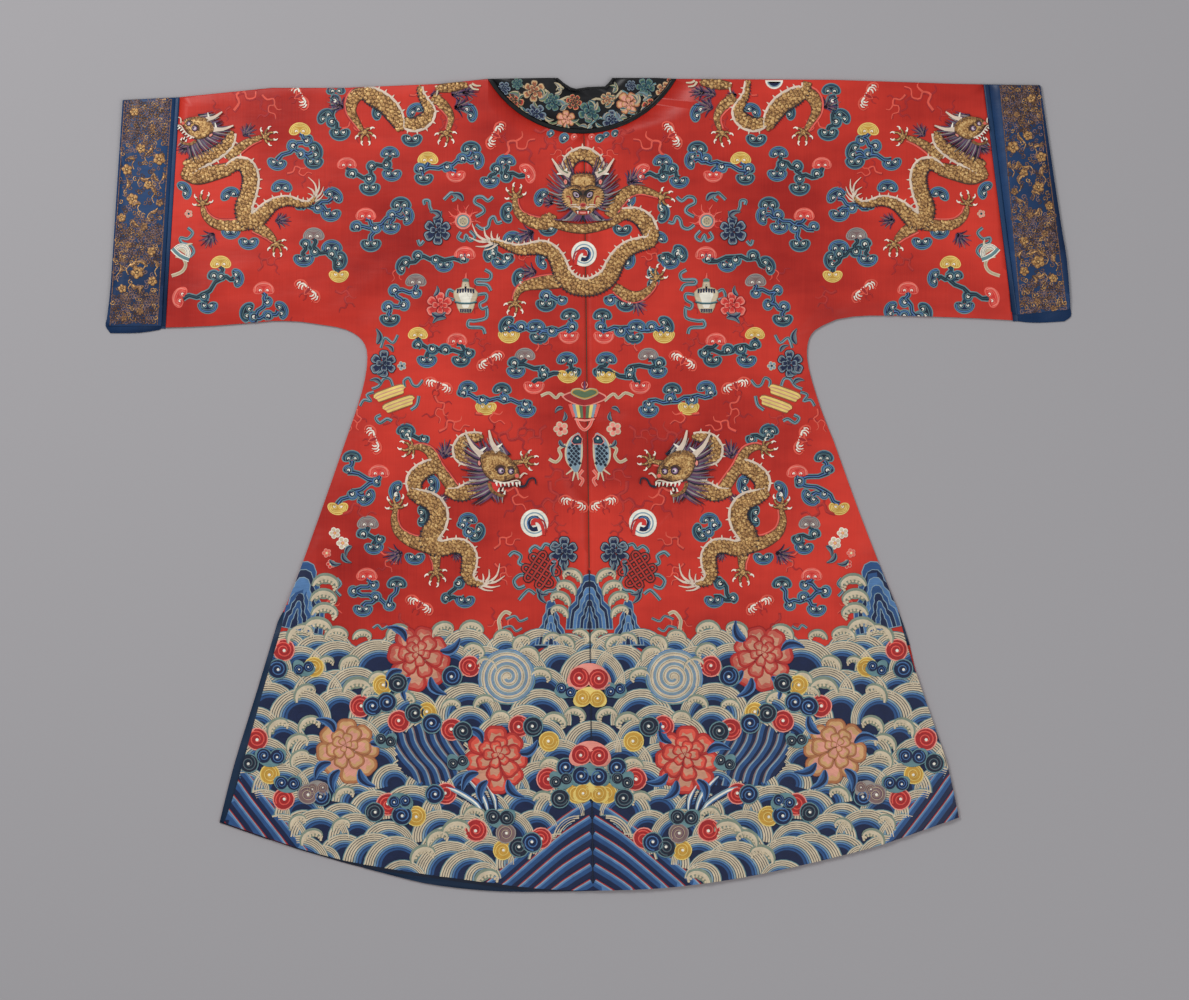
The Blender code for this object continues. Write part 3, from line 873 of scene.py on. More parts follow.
SINGLE = (
    (-5.6, -3.4), (-6.1, 0.4), (-3.8, 4.0), (0.8, 5.2), (4.8, 3.2), (5.8, -1.0), (3.4, -4.4), (-1.6, -4.9)
)
HEAD_BASE = draw_base(both_sides(HEAD_HALF)).motif("head_base")
CURL_BASE = draw_base(SINGLE).motif("curl_base")
CLOUD_HEAD = draw_head()
CLOUD_CURL = draw_single()
print("cloud head:", len(CLOUD_HEAD.polygons), "faces")

# %% Cloud table
# The families' first letters keep the rows short.
Y, P, B, T, G = "yellow", "pink", "blue", "teal", "grey"
CLOUDS = (
    # stem's family, joints (x, y), heads (x, y, family, turn)
    (B, ((306, 139), (295, 147), (299, 155)), ((300, 130, Y, 0), (277, 164, B, 170), (316, 151, T, -70),
        (314, 163, T, 180))),
    (T, ((352, 176), (369, 177), (373, 168), (386, 163)), ((347, 164, P, 0), (390, 153, B, 0),
        (392, 175, B, 180), (370, 189, T, 180))),
    (B, ((421, 171), (447, 165), (463, 161)), ((428, 159, Y, 0), (424, 179, T, 180), (456, 176, P, 180),
        (471, 148, T, 0), (478, 160, B, -80))),
    (B, ((357, 229), (375, 226), (393, 217)), ((366, 215, P, 0), (371, 245, T, 180), (391, 228, B, 180),
        (401, 204, T, 0), (408, 216, B, -90))),
    (T, ((305, 246), (316, 250), (331, 256)), ((314, 235, G, 0), (304, 260, B, 180), (332, 247, B, 0),
        (341, 261, T, -100), (339, 276, Y, 180))),
    (T, ((214, 278), (223, 278), (203, 295)), ((221, 263, Y, 0), (238, 278, B, -80), (180, 297, P, 70),
        (208, 307, B, 180))),
    (B, ((266, 301), (256, 317), (268, 318)), ((264, 289, P, 0), (247, 312, T, 70), (282, 310, B, -70))),
    (B, ((318, 206), (302, 208)), ((334, 195, B, -30), (331, 215, B, 180))),
    (T, ((333, 101), (334, 122)), ((325, 116, T, 40), (340, 134, T, 180))),
    (B, (), ((230, 194, B, 20), (282, 187, B, 0), (249, 243, B, 180), (231, 233, B, 180),
        (185, 190, B, -60))),
    (T, (), ((412, 140, T, 180), (379, 111, T, 60), (415, 110, B, 30), (470, 112, B, -60),
        (336, 90, T, 0))),
    (T, ((418, 258), (436, 258), (463, 261)), ((403, 265, T, 60), (444, 266, B, 180), (465, 254, P, 0))),
    (B, ((416, 291), (396, 292), (402, 304), (389, 309)), ((416, 281, G, 0), (390, 320, T, 180))),
    (T, ((418, 347), (433, 347), (445, 352), (469, 351)), ((418, 334, Y, 0), (457, 340, P, 0),
        (427, 361, B, 180), (461, 361, T, 180))),
    (B, ((521, 329), (552, 329), (572, 329)), ((506, 325, T, 60), (509, 336, Y, 180), (536, 326, B, 0),
        (539, 338, T, 180), (570, 315, T, 0), (569, 337, P, 180))),
    (T, ((514, 365), (544, 368), (544, 377), (575, 370)), ((525, 355, G, 0), (516, 372, B, 180),
        (534, 387, P, 180), (567, 359, B, 0), (568, 376, Y, 180))),
    (B, ((463, 395), (483, 398), (504, 401), (526, 402)), ((468, 387, B, 0), (486, 408, Y, 180),
        (502, 389, T, 0), (526, 411, B, 180))),
    (B, ((348, 472), (379, 481), (352, 492)), ((352, 457, T, 0), (379, 472, P, 0), (367, 498, B, -140),
        (338, 508, Y, 180))),
    (T, ((407, 437), (424, 437)), ((406, 430, T, 0),)),
    (T, ((363, 536), (380, 537)), ((368, 523, G, 0), (374, 548, B, 180))),
    (B, (), ((396, 491, B, 80), (433, 485, B, -90), (423, 516, T, -90), (415, 558, B, 180))),
    (B, ((373, 583), (356, 591), (375, 599), (390, 603)), ((367, 575, P, 0), (363, 610, B, 180),
        (397, 583, T, 0))),
    (B, ((462, 527), (470, 530)), ((468, 519, B, 0), (478, 533, T, -120))),
    (T, ((457, 582), (448, 599)), ((465, 601, B, 180),)),
    (T, ((496, 171), (507, 175)), ((506, 161, B, 0), (490, 182, B, 180), (528, 173, P, -60))),
    (T, ((493, 256), (508, 256)), ((501, 263, B, 180), (490, 253, T, 60))),
    (B, (), ((541, 197, B, 60), (507, 213, T, 90), (548, 230, T, 180), (513, 238, B, 0), (542, 260, B, 90),
        (519, 279, T, 90))),
    (B, ((546, 298), (562, 298)), ((546, 305, T, 180),)),
)
COLLAR_CURLS = (
    # x, y, family and size of the curls that come out from under the collar
    (550.5, 133.5, "blue", 0.72), (564, 138, "blue", 0.95), (574, 137, "pink", 0.6),
    (591.5, 137, "pink", 0.6), (599.5, 138.5, "teal", 0.85), (606, 135, "blue", 0.6),
    (615, 133.5, "teal", 0.72),
)
print("clouds on each half:", len(CLOUDS))

# %% Sew the clouds
CURL_SIZE = 1.08
CURL_ASIDE = 2.8
STEM_WIDTH = 7.2
STEM_WAIST = 1.9
STEM_EDGE = 2.3
COLLAR_TURN = 40
SWAY = 1.5
NECK = 3.6


def swayed(points):
    """A stem's path through its joints, which swings to and fro between them, and its widths."""
    path = [points[0]]
    for index, (start, end) in enumerate(zip(points, points[1:])):
        along = end - start
        swing = leftward(along).normalized() * min(SWAY, along.length * 0.12) * (-1) ** index
        path += [start.lerp(end, 0.33) + swing, start.lerp(end, 0.67) - swing, end]
    path = smooth(path, 2)
    return path, [STEM_WIDTH - STEM_WAIST * abs(math.sin(math.pi * i / 6)) for i in range(len(path))]


def sew_cloud(work, side, family, joints, heads):
    """One cloud. The pale grounds come first and run together, then the dark insides."""
    outline, dark, middle = CLOUD_THREADS[family][:3]
    places = [on_half(side, x, y) for x, y in joints]
    ways = [swayed(places)] if len(places) > 1 else []
    stamps = []
    for index, place in enumerate(places):
        aside = leftward(way_at(places, index)) * (side if index % 2 else -side)
        turn = math.degrees(math.atan2(aside.y, aside.x)) - 90
        size = CURL_SIZE + 0.1 * math.sin(place.x)
        stamps.append((CURL_BASE, CLOUD_CURL, place + aside * CURL_ASIDE, size, turn, family))
    for x, y, own, turn in heads:
        place = on_half(side, x, y)
        neck = place + Matrix.Rotation(math.radians(-turn * side), 2) @ Vector((0.0, -NECK))
        near = min(places, key=lambda p: (p - neck).length) if places else neck
        if (near - neck).length > 2:
            ways.append(swayed([near, neck]))
        size = 1.0 + 0.05 * math.sin(x * 0.7 + y)
        stamps.append((HEAD_BASE, CLOUD_HEAD, place, size, -turn * side, own))
    for way, widths in ways:
        work.band(way, ((outline, 1.0, 0.0),), widths, lift=0.35, crown=0.1)
    for base, _, place, size, turn, own in stamps:
        work.stamp(base, place, size, turn, side > 0, threads=CLOUD_THREADS[own])
    for way, widths in ways:
        inside = [w - STEM_EDGE for w in widths]
        threads = ((dark, 0.36, 0.0), (middle, 0.28, 0.0), (dark, 0.36, 0.0))
        work.band(way, threads, inside, lift=0.55, crown=0.15)
    for _, inside, place, size, turn, own in stamps:
        work.stamp(inside, place, size, turn, side > 0, threads=CLOUD_THREADS[own])


for side, word in HALVES:
    work = Sewing()
    for row in CLOUDS:
        sew_cloud(work, side, *row)
    for x, y, family, size in COLLAR_CURLS:
        if (x > seam_x(y)) == (side > 0):
            work.stamp(CURL_BASE, at(x, y), size, COLLAR_TURN, side > 0, threads=CLOUD_THREADS[family])
            work.stamp(CLOUD_CURL, at(x, y), size, COLLAR_TURN, side > 0, threads=CLOUD_THREADS[family])
    work.finish("clouds_" + word)

# %% [markdown]
# ## The sea
# Under the clouds the whole hem is a sea of rounded waves. One wave is a fan of cream cords
# over blue water, and each nearer wave laps over the ones behind it as roof tiles do. A fan
# is a band bent round an arc, with its rim raised. The faces that a nearer fan would cover
# are left out, because no one would sew under a wave. The large waves were placed from the
# photograph, and smaller ones fill the gaps between them.

# %% Waves
CORD = (("cream", 1.15, 0.35), ("cream", 0.75, 0.05), ("ink", 0.75, -0.1))
RIM = (("sea", 1.1, 0.0),)
WATER = (
    ("sky", 1.3, 0.2), ("sky", 0.7, 0.0), ("ink", 0.6, -0.1), ("azure", 1.5, 0.15), ("blue", 1.0, 0.0),
    ("ink", 0.6, -0.1), ("blue", 2.6, 0.1),
)
WAVES = (
    # x, y of the middle, radius, lean in degrees
    (300, 650, 22, -14), (334, 653, 20, 0), (398, 652, 20, 0), (442, 650, 21, 0), (568, 656, 23, 0),
    (286, 654, 23, -20), (318, 661, 27, -10), (505, 656, 22, 0), (378, 676, 37, 5), (467, 656, 28, -5),
    (540, 656, 28, 5), (516, 681, 34, 0), (268, 713, 32, -15), (337, 695, 26, 6), (339, 715, 28, 8),
    (385, 727, 20, 0), (467, 718, 36, 0), (469, 730, 25, 0), (540, 720, 32, -6), (526, 732, 28, 6),
    (256, 731, 25, -18), (312, 755, 21, 8), (305, 781, 28, -24), (405, 774, 17, 0), (393, 785, 22, 8),
    (356, 804, 25, -14), (342, 827, 25, -10), (304, 832, 23, -20), (425, 802, 17, 0), (523, 814, 26, 6),
    (535, 834, 25, 14), (440, 838, 29, 4), (450, 857, 32, 16), (388, 848, 28, -4), (344, 860, 27, -6),
    (396, 868, 33, 20), (450, 877, 37, 22), (403, 884, 25, 18), (470, 880, 31, 25), (323, 862, 18, 0),
    (483, 880, 19, 10),
)
MIDDLE_WAVES = ((590, 660, 24, 0), (592, 682, 34, 0), (592, 750, 30, 0))
FILL_RADII = (26, 30, 27, 32, 28)
FILL_STEP = (37, 24)
FILL_COLUMNS = 11
CLEAR_SHARE = 0.62
SEAM_CLEAR = 8
UPRIGHT_X = 410
LEAN_PER_PIXEL = 0.04
SEA_TOP = 672
SEA_FOOT = 905
SEA_SIDE = 226
WAVE_SWEEP = (-6, 186)
WAVE_STEPS = 16
INNER_SHARE = 0.08
SLIM = 0.42
WAVE_TILT = 1.0
ROW_LIFT = 0.02
ROW_CYCLE = 9
WAVE_LIFT = 0.2
LARGER = 27
LARGEST = 33
COVER = 0.93
STANDING_TOP = 806
STANDING_SLOPE = 0.83
CORNER = ((240, 777), (301, 845))
STRIPES = (431, 753, 35, 31)
print("large waves on each half:", len(WAVES))

# %% Sew the waves
def in_standing_water(side, place):
    """Whether a place lies in the diagonal stripes at the hem's middle or at its corner."""
    x, y = place.x + ORIGIN_PIXEL[0], ORIGIN_PIXEL[1] - place.y
    if side > 0:
        x = 2 * seam_x(y) - x
    if y > STANDING_TOP + abs(x - seam_x(y)) * STANDING_SLOPE:
        return True
    if math.hypot((x - STRIPES[0]) / STRIPES[2], (y - STRIPES[1]) / STRIPES[3]) < 1:
        return True
    (x0, y0), (x1, y1) = CORNER
    return (x1 - x0) * (y - y0) - (y1 - y0) * (x - x0) > 0


def plan_waves():
    """Every wave of the left half, the far ones first."""
    waves = list(WAVES)
    for row in range(int((SEA_FOOT - SEA_TOP) / FILL_STEP[1])):
        y = SEA_TOP + row * FILL_STEP[1]
        for column in range(FILL_COLUMNS):
            x = SEA_SIDE + (column + 0.5 * (row % 2)) * FILL_STEP[0]
            radius = FILL_RADII[(3 * row + column) % len(FILL_RADII)]
            others = WAVES + MIDDLE_WAVES
            clear = all(math.hypot(x - w[0], y - w[1]) > CLEAR_SHARE * w[2] for w in others)
            if clear and x < seam_x(y) - SEAM_CLEAR:
                waves.append((x, y, radius, (x - UPRIGHT_X) * LEAN_PER_PIXEL))
    return sorted(waves, key=lambda wave: wave[1])


def sew_waves(work, side, waves):
    """Fans in order, each without what a later one covers. Places are in pixels, y upward."""
    for index, (place, radius, lean) in enumerate(waves):
        nearer = [
            (other, reach * COVER)
            for other, reach, _ in waves[index + 1 :]
            if (other - place).length < radius + reach and other.y < place.y
        ]

        def hidden(spot):
            return in_standing_water(side, spot) or any((spot - o).length < r for o, r in nearer)

        first, last = WAVE_SWEEP[0] + lean, WAVE_SWEEP[1] + lean
        width = radius * (1 - INNER_SHARE)
        widths = [width * (1 - SLIM * (0.5 - side * (0.5 - i / WAVE_STEPS))) for i in range(WAVE_STEPS + 1)]
        rim = arc((0, 0), 1.0, first, last, WAVE_STEPS)
        path = [place + out * (radius - w / 2) for out, w in zip(rim, widths)]
        cords = 3 + (radius > LARGER) + (radius > LARGEST)
        threads = RIM + CORD * cords + WATER
        threads += (("navy", max(width - sum(t[1] for t in threads), 0.5), 0.0),)
        lift = WAVE_LIFT + ROW_LIFT * (index % ROW_CYCLE)
        work.band(path, threads, widths, lift, 0.0, WAVE_TILT, hidden=hidden)


for side, word in HALVES:
    work = Sewing()
    waves = [(on_half(side, x, y), radius, lean * -side) for x, y, radius, lean in plan_waves()]
    if side < 0:
        waves += [(at(x, y), radius, lean) for x, y, radius, lean in MIDDLE_WAVES]
        waves.sort(key=lambda wave: -wave[0].y)
    sew_waves(work, side, waves)
    work.finish("waves_" + word)

# %% Foam
CREST = (
    # x, y and width along the crest
    (-11, -7.0, 2.6), (-9.4, -2.2, 4.6), (-5.0, 2.2, 5.8), (1.0, 3.6, 6.0), (6.6, 2.4, 5.4),
    (10.6, -1.0, 4.2), (11.2, -4.4, 2.6)
)
DROPS = ((-5.8, -3.4), (-3.0, -1.8), (0.2, -0.9), (3.4, -1.2), (6.0, -2.8), (7.8, -5.2), (8.8, -8.0))
FOAM_THREADS = ("cream", "sage", "teal", "sand")
FOAMS = (
    # x, y on the left half, turn, size, under 0 where it breaks the other way
    (298, 631, 20, 1.2), (336, 632, 0, 1.0), (362, 634, 0, 0.8), (397, 630, 10, 1.0), (441, 628, 20, 1.0),
    (472, 626, -10, 1.0), (503, 634, 0, 0.8), (520, 640, 20, 0.8), (326, 580, -8, 1.1), (324, 595, -8, 1.1),
    (325, 609, -8, 1.1), (318, 624, -8, 1.2), (551, 637, 10, 0.8), (348, 661, 20, 0.9), (324, 661, 20, 0.8),
    (357, 684, 0, 1.2), (475, 648, -20, 0.9), (541, 673, -10, 0.9), (303, 691, 30, 1.0),
    (404, 696, -10, 1.0), (483, 700, 10, 0.9), (451, 703, 0, 0.8), (576, 712, -20, 0.9),
    (556, 718, -20, 1.0), (308, 722, 20, 1.0), (276, 725, 30, 1.0), (296, 740, 20, 1.0),
    (298, 756, 30, 0.9), (551, 762, -10, 0.9), (343, 792, 20, 0.9), (544, 796, -10, 0.9),
    (475, 811, -10, 0.9), (296, 820, 30, 0.8), (340, 823, 20, 0.8), (456, 826, 0, 1.2), (310, 835, 20, 1.0),
    (436, 836, 20, 1.0), (421, 852, 20, 1.1), (485, 876, 20, 1.1), (377, 676, 10, 0.8),
    (566, 640, -30, 0.9), (583, 634, -40, 0.8), (500, 715, 0, 0.8), (574, 574, 20, -0.9),
    (568, 586, 20, -0.9), (562, 597, 20, -0.9), (561, 610, 20, -0.8), (531, 652, 20, -0.9),
    (488, 662, 10, -0.9), (372, 690, 0, 0.9),
)


def draw_foam():
    """A foam crest that breaks to the right: a cream crescent, and round drops under it."""
    work = Sewing()
    rows = curve(CREST, 2)
    path, widths = [p.xy for p in rows], [p.z for p in rows]
    under = [p + (Vector((0, -1)) - p).normalized() * 2.6 for p in path]
    work.band(under, ((1, 0.5, 0.0), (2, 0.5, 0.0)), [w + 3.5 for w in widths], 1.0, 0.1)
    work.band(path, ((0, 0.3, 0.1), (0, 0.28, 0.1), (1, 0.42, 0.0)), widths, 1.5, 0.4)
    for x, y in DROPS:
        near = min(path, key=lambda p: (p - Vector((x, y))).length)
        strand(work, (near, near.lerp(Vector((x, y)), 0.5), (x, y)), 0, 2.6, 1.8, 1.5, 1, 0.2)
        work.fill(disc((x, y), 1.5, 8), ((3, 0.3, 0.15), (0, 0, 0)), 1.6)
    return work.motif("foam")


FOAM = draw_foam()
for side, word in HALVES:
    work = Sewing()
    for x, y, turn, size in FOAMS:
        back = size < 0
        turn *= side if back else -side
        flip = (side > 0) != back
        work.stamp(FOAM, on_half(side, x, y), abs(size), turn, flip, threads=FOAM_THREADS)
    work.finish("foam_" + word)

# %% [markdown]
# ## Dragon parts
# The dragons are the heaviest work on the jacket: gold thread couched in rows of scales over
# padding, so they stand highest. A body is a crowned band along a given curve. Its
# scales are stamped in staggered rows, and a cream ridge with small spikes runs down the
# back. Paws, tails and tufts of hair are drawn once, reaching up, and then turned.

# %% Scales, tufts and paws
SCALE = Sewing()
SCALE.fill(
    [(-2.3, 1.9), (-2.4, -0.5), (-1.4, -2.1), (0.0, -2.8), (1.4, -2.1), (2.4, -0.5), (2.3, 1.9)],
    ((0, 0.75, 0.2), (1, 0, 0)),
    0.3,
)
SCALE = SCALE.motif("scale")
SCALE_WIDTH = 4.5
SCALE_SINK = 0.15
FULL_WIDTH = 9
SCALE_PITCH = 3.9
SCALE_THREADS = (
    ("old_gold", "gold"), ("gold", "pale_gold"), ("old_gold", "pale_gold"), ("old_gold", "gold")
)
BODY_THREADS = (
    ("umber", 0.07, 0.0), ("old_gold", 0.21, 0.0), ("gold", 0.44, 0.0), ("old_gold", 0.21, 0.0),
    ("umber", 0.07, 0.0)
)
BODY_STEP = 3.0
BODY_CROWN = 1.1
RIDGE_THREADS = (("shell", 0.5, 0.3), ("shell", 0.5, 0.0))
LEG_THREADS = (("crimson", 0.4, 0.0), ("coral", 0.6, 0.0))
SPINES = (
    # pitch, side, root and tip out from the edge, thread, widths at both ends, rise, steps
    (7.0, 1, 0.0, 3.4, "shell", 2.2, 0.5, 0.4, 2),
    (2.9, -1, 0.8, -2.6, "ink", 1.1, 0.6, 0.75, 1),
)


def edge_path(places, widths, side, outset=0.0):
    """A path along one edge of a band: side 1 is its left, -1 its right."""
    return [
        place + leftward(way_at(places, k)) * (widths[k] / 2 + outset) * side
        for k, place in enumerate(places)
    ]


def sew_body(work, rows, ridge, lift, crown=BODY_CROWN):
    """A scaled body or leg. ridge: 1 for a ridge on the left of its way, -1 right, 0 none."""
    back, breadths = trail(rows, BODY_STEP)
    work.band(back, BODY_THREADS, breadths, lift, crown)
    places, widths = trail(rows, SCALE_PITCH)
    for k, (place, width) in enumerate(zip(places, widths)):
        along = way_at(places, k)
        turn = math.degrees(math.atan2(along.y, along.x)) + 90
        count = max(int(width * 0.9 / SCALE_WIDTH), 1) + k % 2
        for j in range(count):
            offset = (j - (count - 1) / 2) * min(SCALE_WIDTH, width * 0.86 / count)
            height = lift + crown * (1 - (2 * offset / width) ** 2) - SCALE_SINK
            spot = place + leftward(along) * offset
            threads = SCALE_THREADS[(7 * k + 3 * j) % 4]
            work.stamp(SCALE, spot, min(1.0, width / FULL_WIDTH), turn, False, height, threads)
    if not ridge:
        return
    work.band(edge_path(back, breadths, ridge, -0.6), RIDGE_THREADS, 2.6, lift + 0.5, 0.5)
    for pitch, way, root, tip, thread, start, end, rise, steps in SPINES:
        places, widths = trail(rows, pitch)
        roots, tips = (edge_path(places, widths, way * ridge, outset) for outset in (root, tip))
        for line in list(zip(roots, tips))[1:-1]:
            strand(work, line, thread, start, end, lift + rise, steps)


def draw_tuft():
    """A tuft of hair: fourteen tapering strands from one root, reaching up."""
    work = Sewing()
    for i in range(14):
        along = ray(126 - 6 * i)
        aside = -leftward(along)
        length = 9 + 9 * math.sin(math.pi * i / 13) + 2 * math.sin(3 * i)
        bend = (i - 6.5) * 0.5
        middle, tip = along * length * 0.55 + aside * bend * 0.5, along * length + aside * bend * 1.6
        strand(work, ((0, 0), middle, tip), i % 3, 2.6, 0.5, 0.9)
    return work.motif("tuft")


def draw_paw():
    """A five-toed paw that reaches up, with a hooked claw on every toe."""
    work = Sewing()
    for angle, length in ((-112, 7.0), (-58, 8.5), (-12, 9.5), (34, 9.0), (82, 7.5)):
        along = ray(90 - angle)
        aside = leftward(along) * (-1 if angle < 0 else 1)
        tip = along * length
        path = smooth([(0, 0), along * length * 0.6 - aside * 1.6, tip], 3)
        widths = [3.6 - 1.8 * i / (len(path) - 1) for i in range(len(path))]
        work.band(path, ((1, 0.22, 0.0), (0, 0.56, 0.0), (1, 0.22, 0.0)), widths, 1.3, 0.5)
        hook = (tip - along * 0.5, tip + along * 2.4 + aside * 0.4, tip + along * 3.6 + aside * 2.4)
        strand(work, hook, 2, 2.2, 0.6, 1.6)
    work.fill(disc((0, -0.5), 3.4, 10), ((1, 0.6, 0.3), (0, 0, 0)), 1.6)
    return work.motif("paw")


PAW = draw_paw()
PAW_THREADS = ("gold", "umber", "white")
HOOKS = (
    # width, points of the strands at a tail's end
    (3.8, ((0, -6), (1.5, 4), (-1, 14), (-9, 21))),
    (3.0, ((0, 2), (-3, 7), (-9, 10))),
    (2.6, ((0, -2), (-3.5, 1.5), (-8, 3))),
    (2.2, ((-1, -6), (-4, -3.5), (-7.5, -3))),
    (3.2, ((1, 3), (4, 10), (3, 20))),
    (2.8, ((1, -2), (6.5, 4), (9, 12))),
    (2.4, ((1, -5), (6, -2), (10, 4))),
)
TAIL = Sewing()
for width, points in HOOKS:
    strand(TAIL, points, 0, width, 0.5, 1.4)
TAIL = TAIL.motif("tail")
TUFT = draw_tuft()
TUFT_THREADS = ("plum", "navy", "taupe")
print("scale:", len(SCALE.polygons), "faces, paw:", len(PAW.polygons), "faces")

# %% [markdown]
# ## Dragon heads
# The dragon on the back looks straight out. The others turn their heads to the side. Each
# head is built up in layers, as it was sewn: the mane first, then the gold face on it, then
# brows, eyes, nose and mouth, and the horns and ears last.

# %% Front head
FACE_HALF = (
    (0, 20.4), (6, 20.2), (11, 18.4), (12.8, 13.5), (12.6, 8.2), (16.5, 6.6), (20.2, 3.0), (21.2, -2.5),
    (19.4, -8), (15.4, -12.0), (12.6, -15.0), (11.0, -18.4), (8.4, -21.2), (4.6, -22.8), (0, -23.4),
)
MANE = ("plum", "ink", "taupe", "plum", "slate", "plum", "ash")


def sew_eye(work, x, y, radius, look):
    """An eye: dark rim, plum ring, pale ball and a black pupil that is set to one side."""
    rings = (
        ("black", radius * 0.18, 0.2), ("plum", radius * 0.2, 0.1), ("lilac", radius * 0.3, 0.0),
        ("white", 0, 0)
    )
    work.fill(disc((x, y), radius, 12), rings, 3.0)
    work.fill(disc((x + look, y - 0.3), radius * 0.3, 8), (("black", 0, 0),), 3.5)


FACE_RINGS = (("umber", 0.7, 0.3), ("old_gold", 1.2, 0.3), ("gold", 1.8, 0.2), ("gold", 0, 0))
FOREHEAD = ((0, 19), (5.5, 18.8), (9.8, 16.4), (11, 12.5), (9.8, 8.4), (5.5, 6.6), (0, 6.0))
FRONT_PATCHES = (
    # points on the right half, rings, lift
    (
        ((2.4, -3.2), (3.0, 0.4), (6.4, 3.0), (10.2, 2.6), (10.8, -0.6), (8.8, -4.0), (5.0, -4.8)),
        (("umber", 0.5, 0.1), ("black", 0, 0)), 3.0,
    ),
    (
        ((3.8, -2.4), (4.8, 0.2), (7.4, 1.6), (9.6, 0.8), (9.2, -2.0), (6.8, -3.8), (4.6, -3.8)),
        (("lilac", 0.8, 0.1), ("ash", 0, 0)), 3.3,
    ),
)
FRONT_LINES = (
    # thread, widths at both ends, lift, points on the right half
    ("black", 2.2, 0.9, 3.4, (1.4, -1.6), (3.4, 2.2), (7.8, 4.4), (12.6, 3.6)),
    ("old_gold", 1.8, 0.8, 3.2, (1.8, 3.4), (6.0, 6.4), (11.6, 6.4)),
    ("umber", 1.6, 0.8, 3.0, (1.6, 5.4), (6.6, 8.2), (12.2, 7.2)),
    ("black", 1.5, 1.0, 3.0, (9.8, -1.5), (8.0, -5.0), (4.6, -7.0)),
    ("umber", 2.0, 1.0, 2.9, (1.4, 3.0), (1.8, -4.0), (3.2, -9.0)),
    ("crimson", 1.0, 1.5, 3.0, (16.8, -3.6), (13.8, -2.8), (11.9, -6.8), (11.5, -12)),
)
EAR = ((15.2, 9.2), (15.0, 13.6), (18.2, 15.4), (20.4, 12.2), (18.4, 8.0))
MOUTH = ((0, -17.0), (7.4, -17.6), (7.0, -19.6), (3.5, -21.0), (0, -21.2))


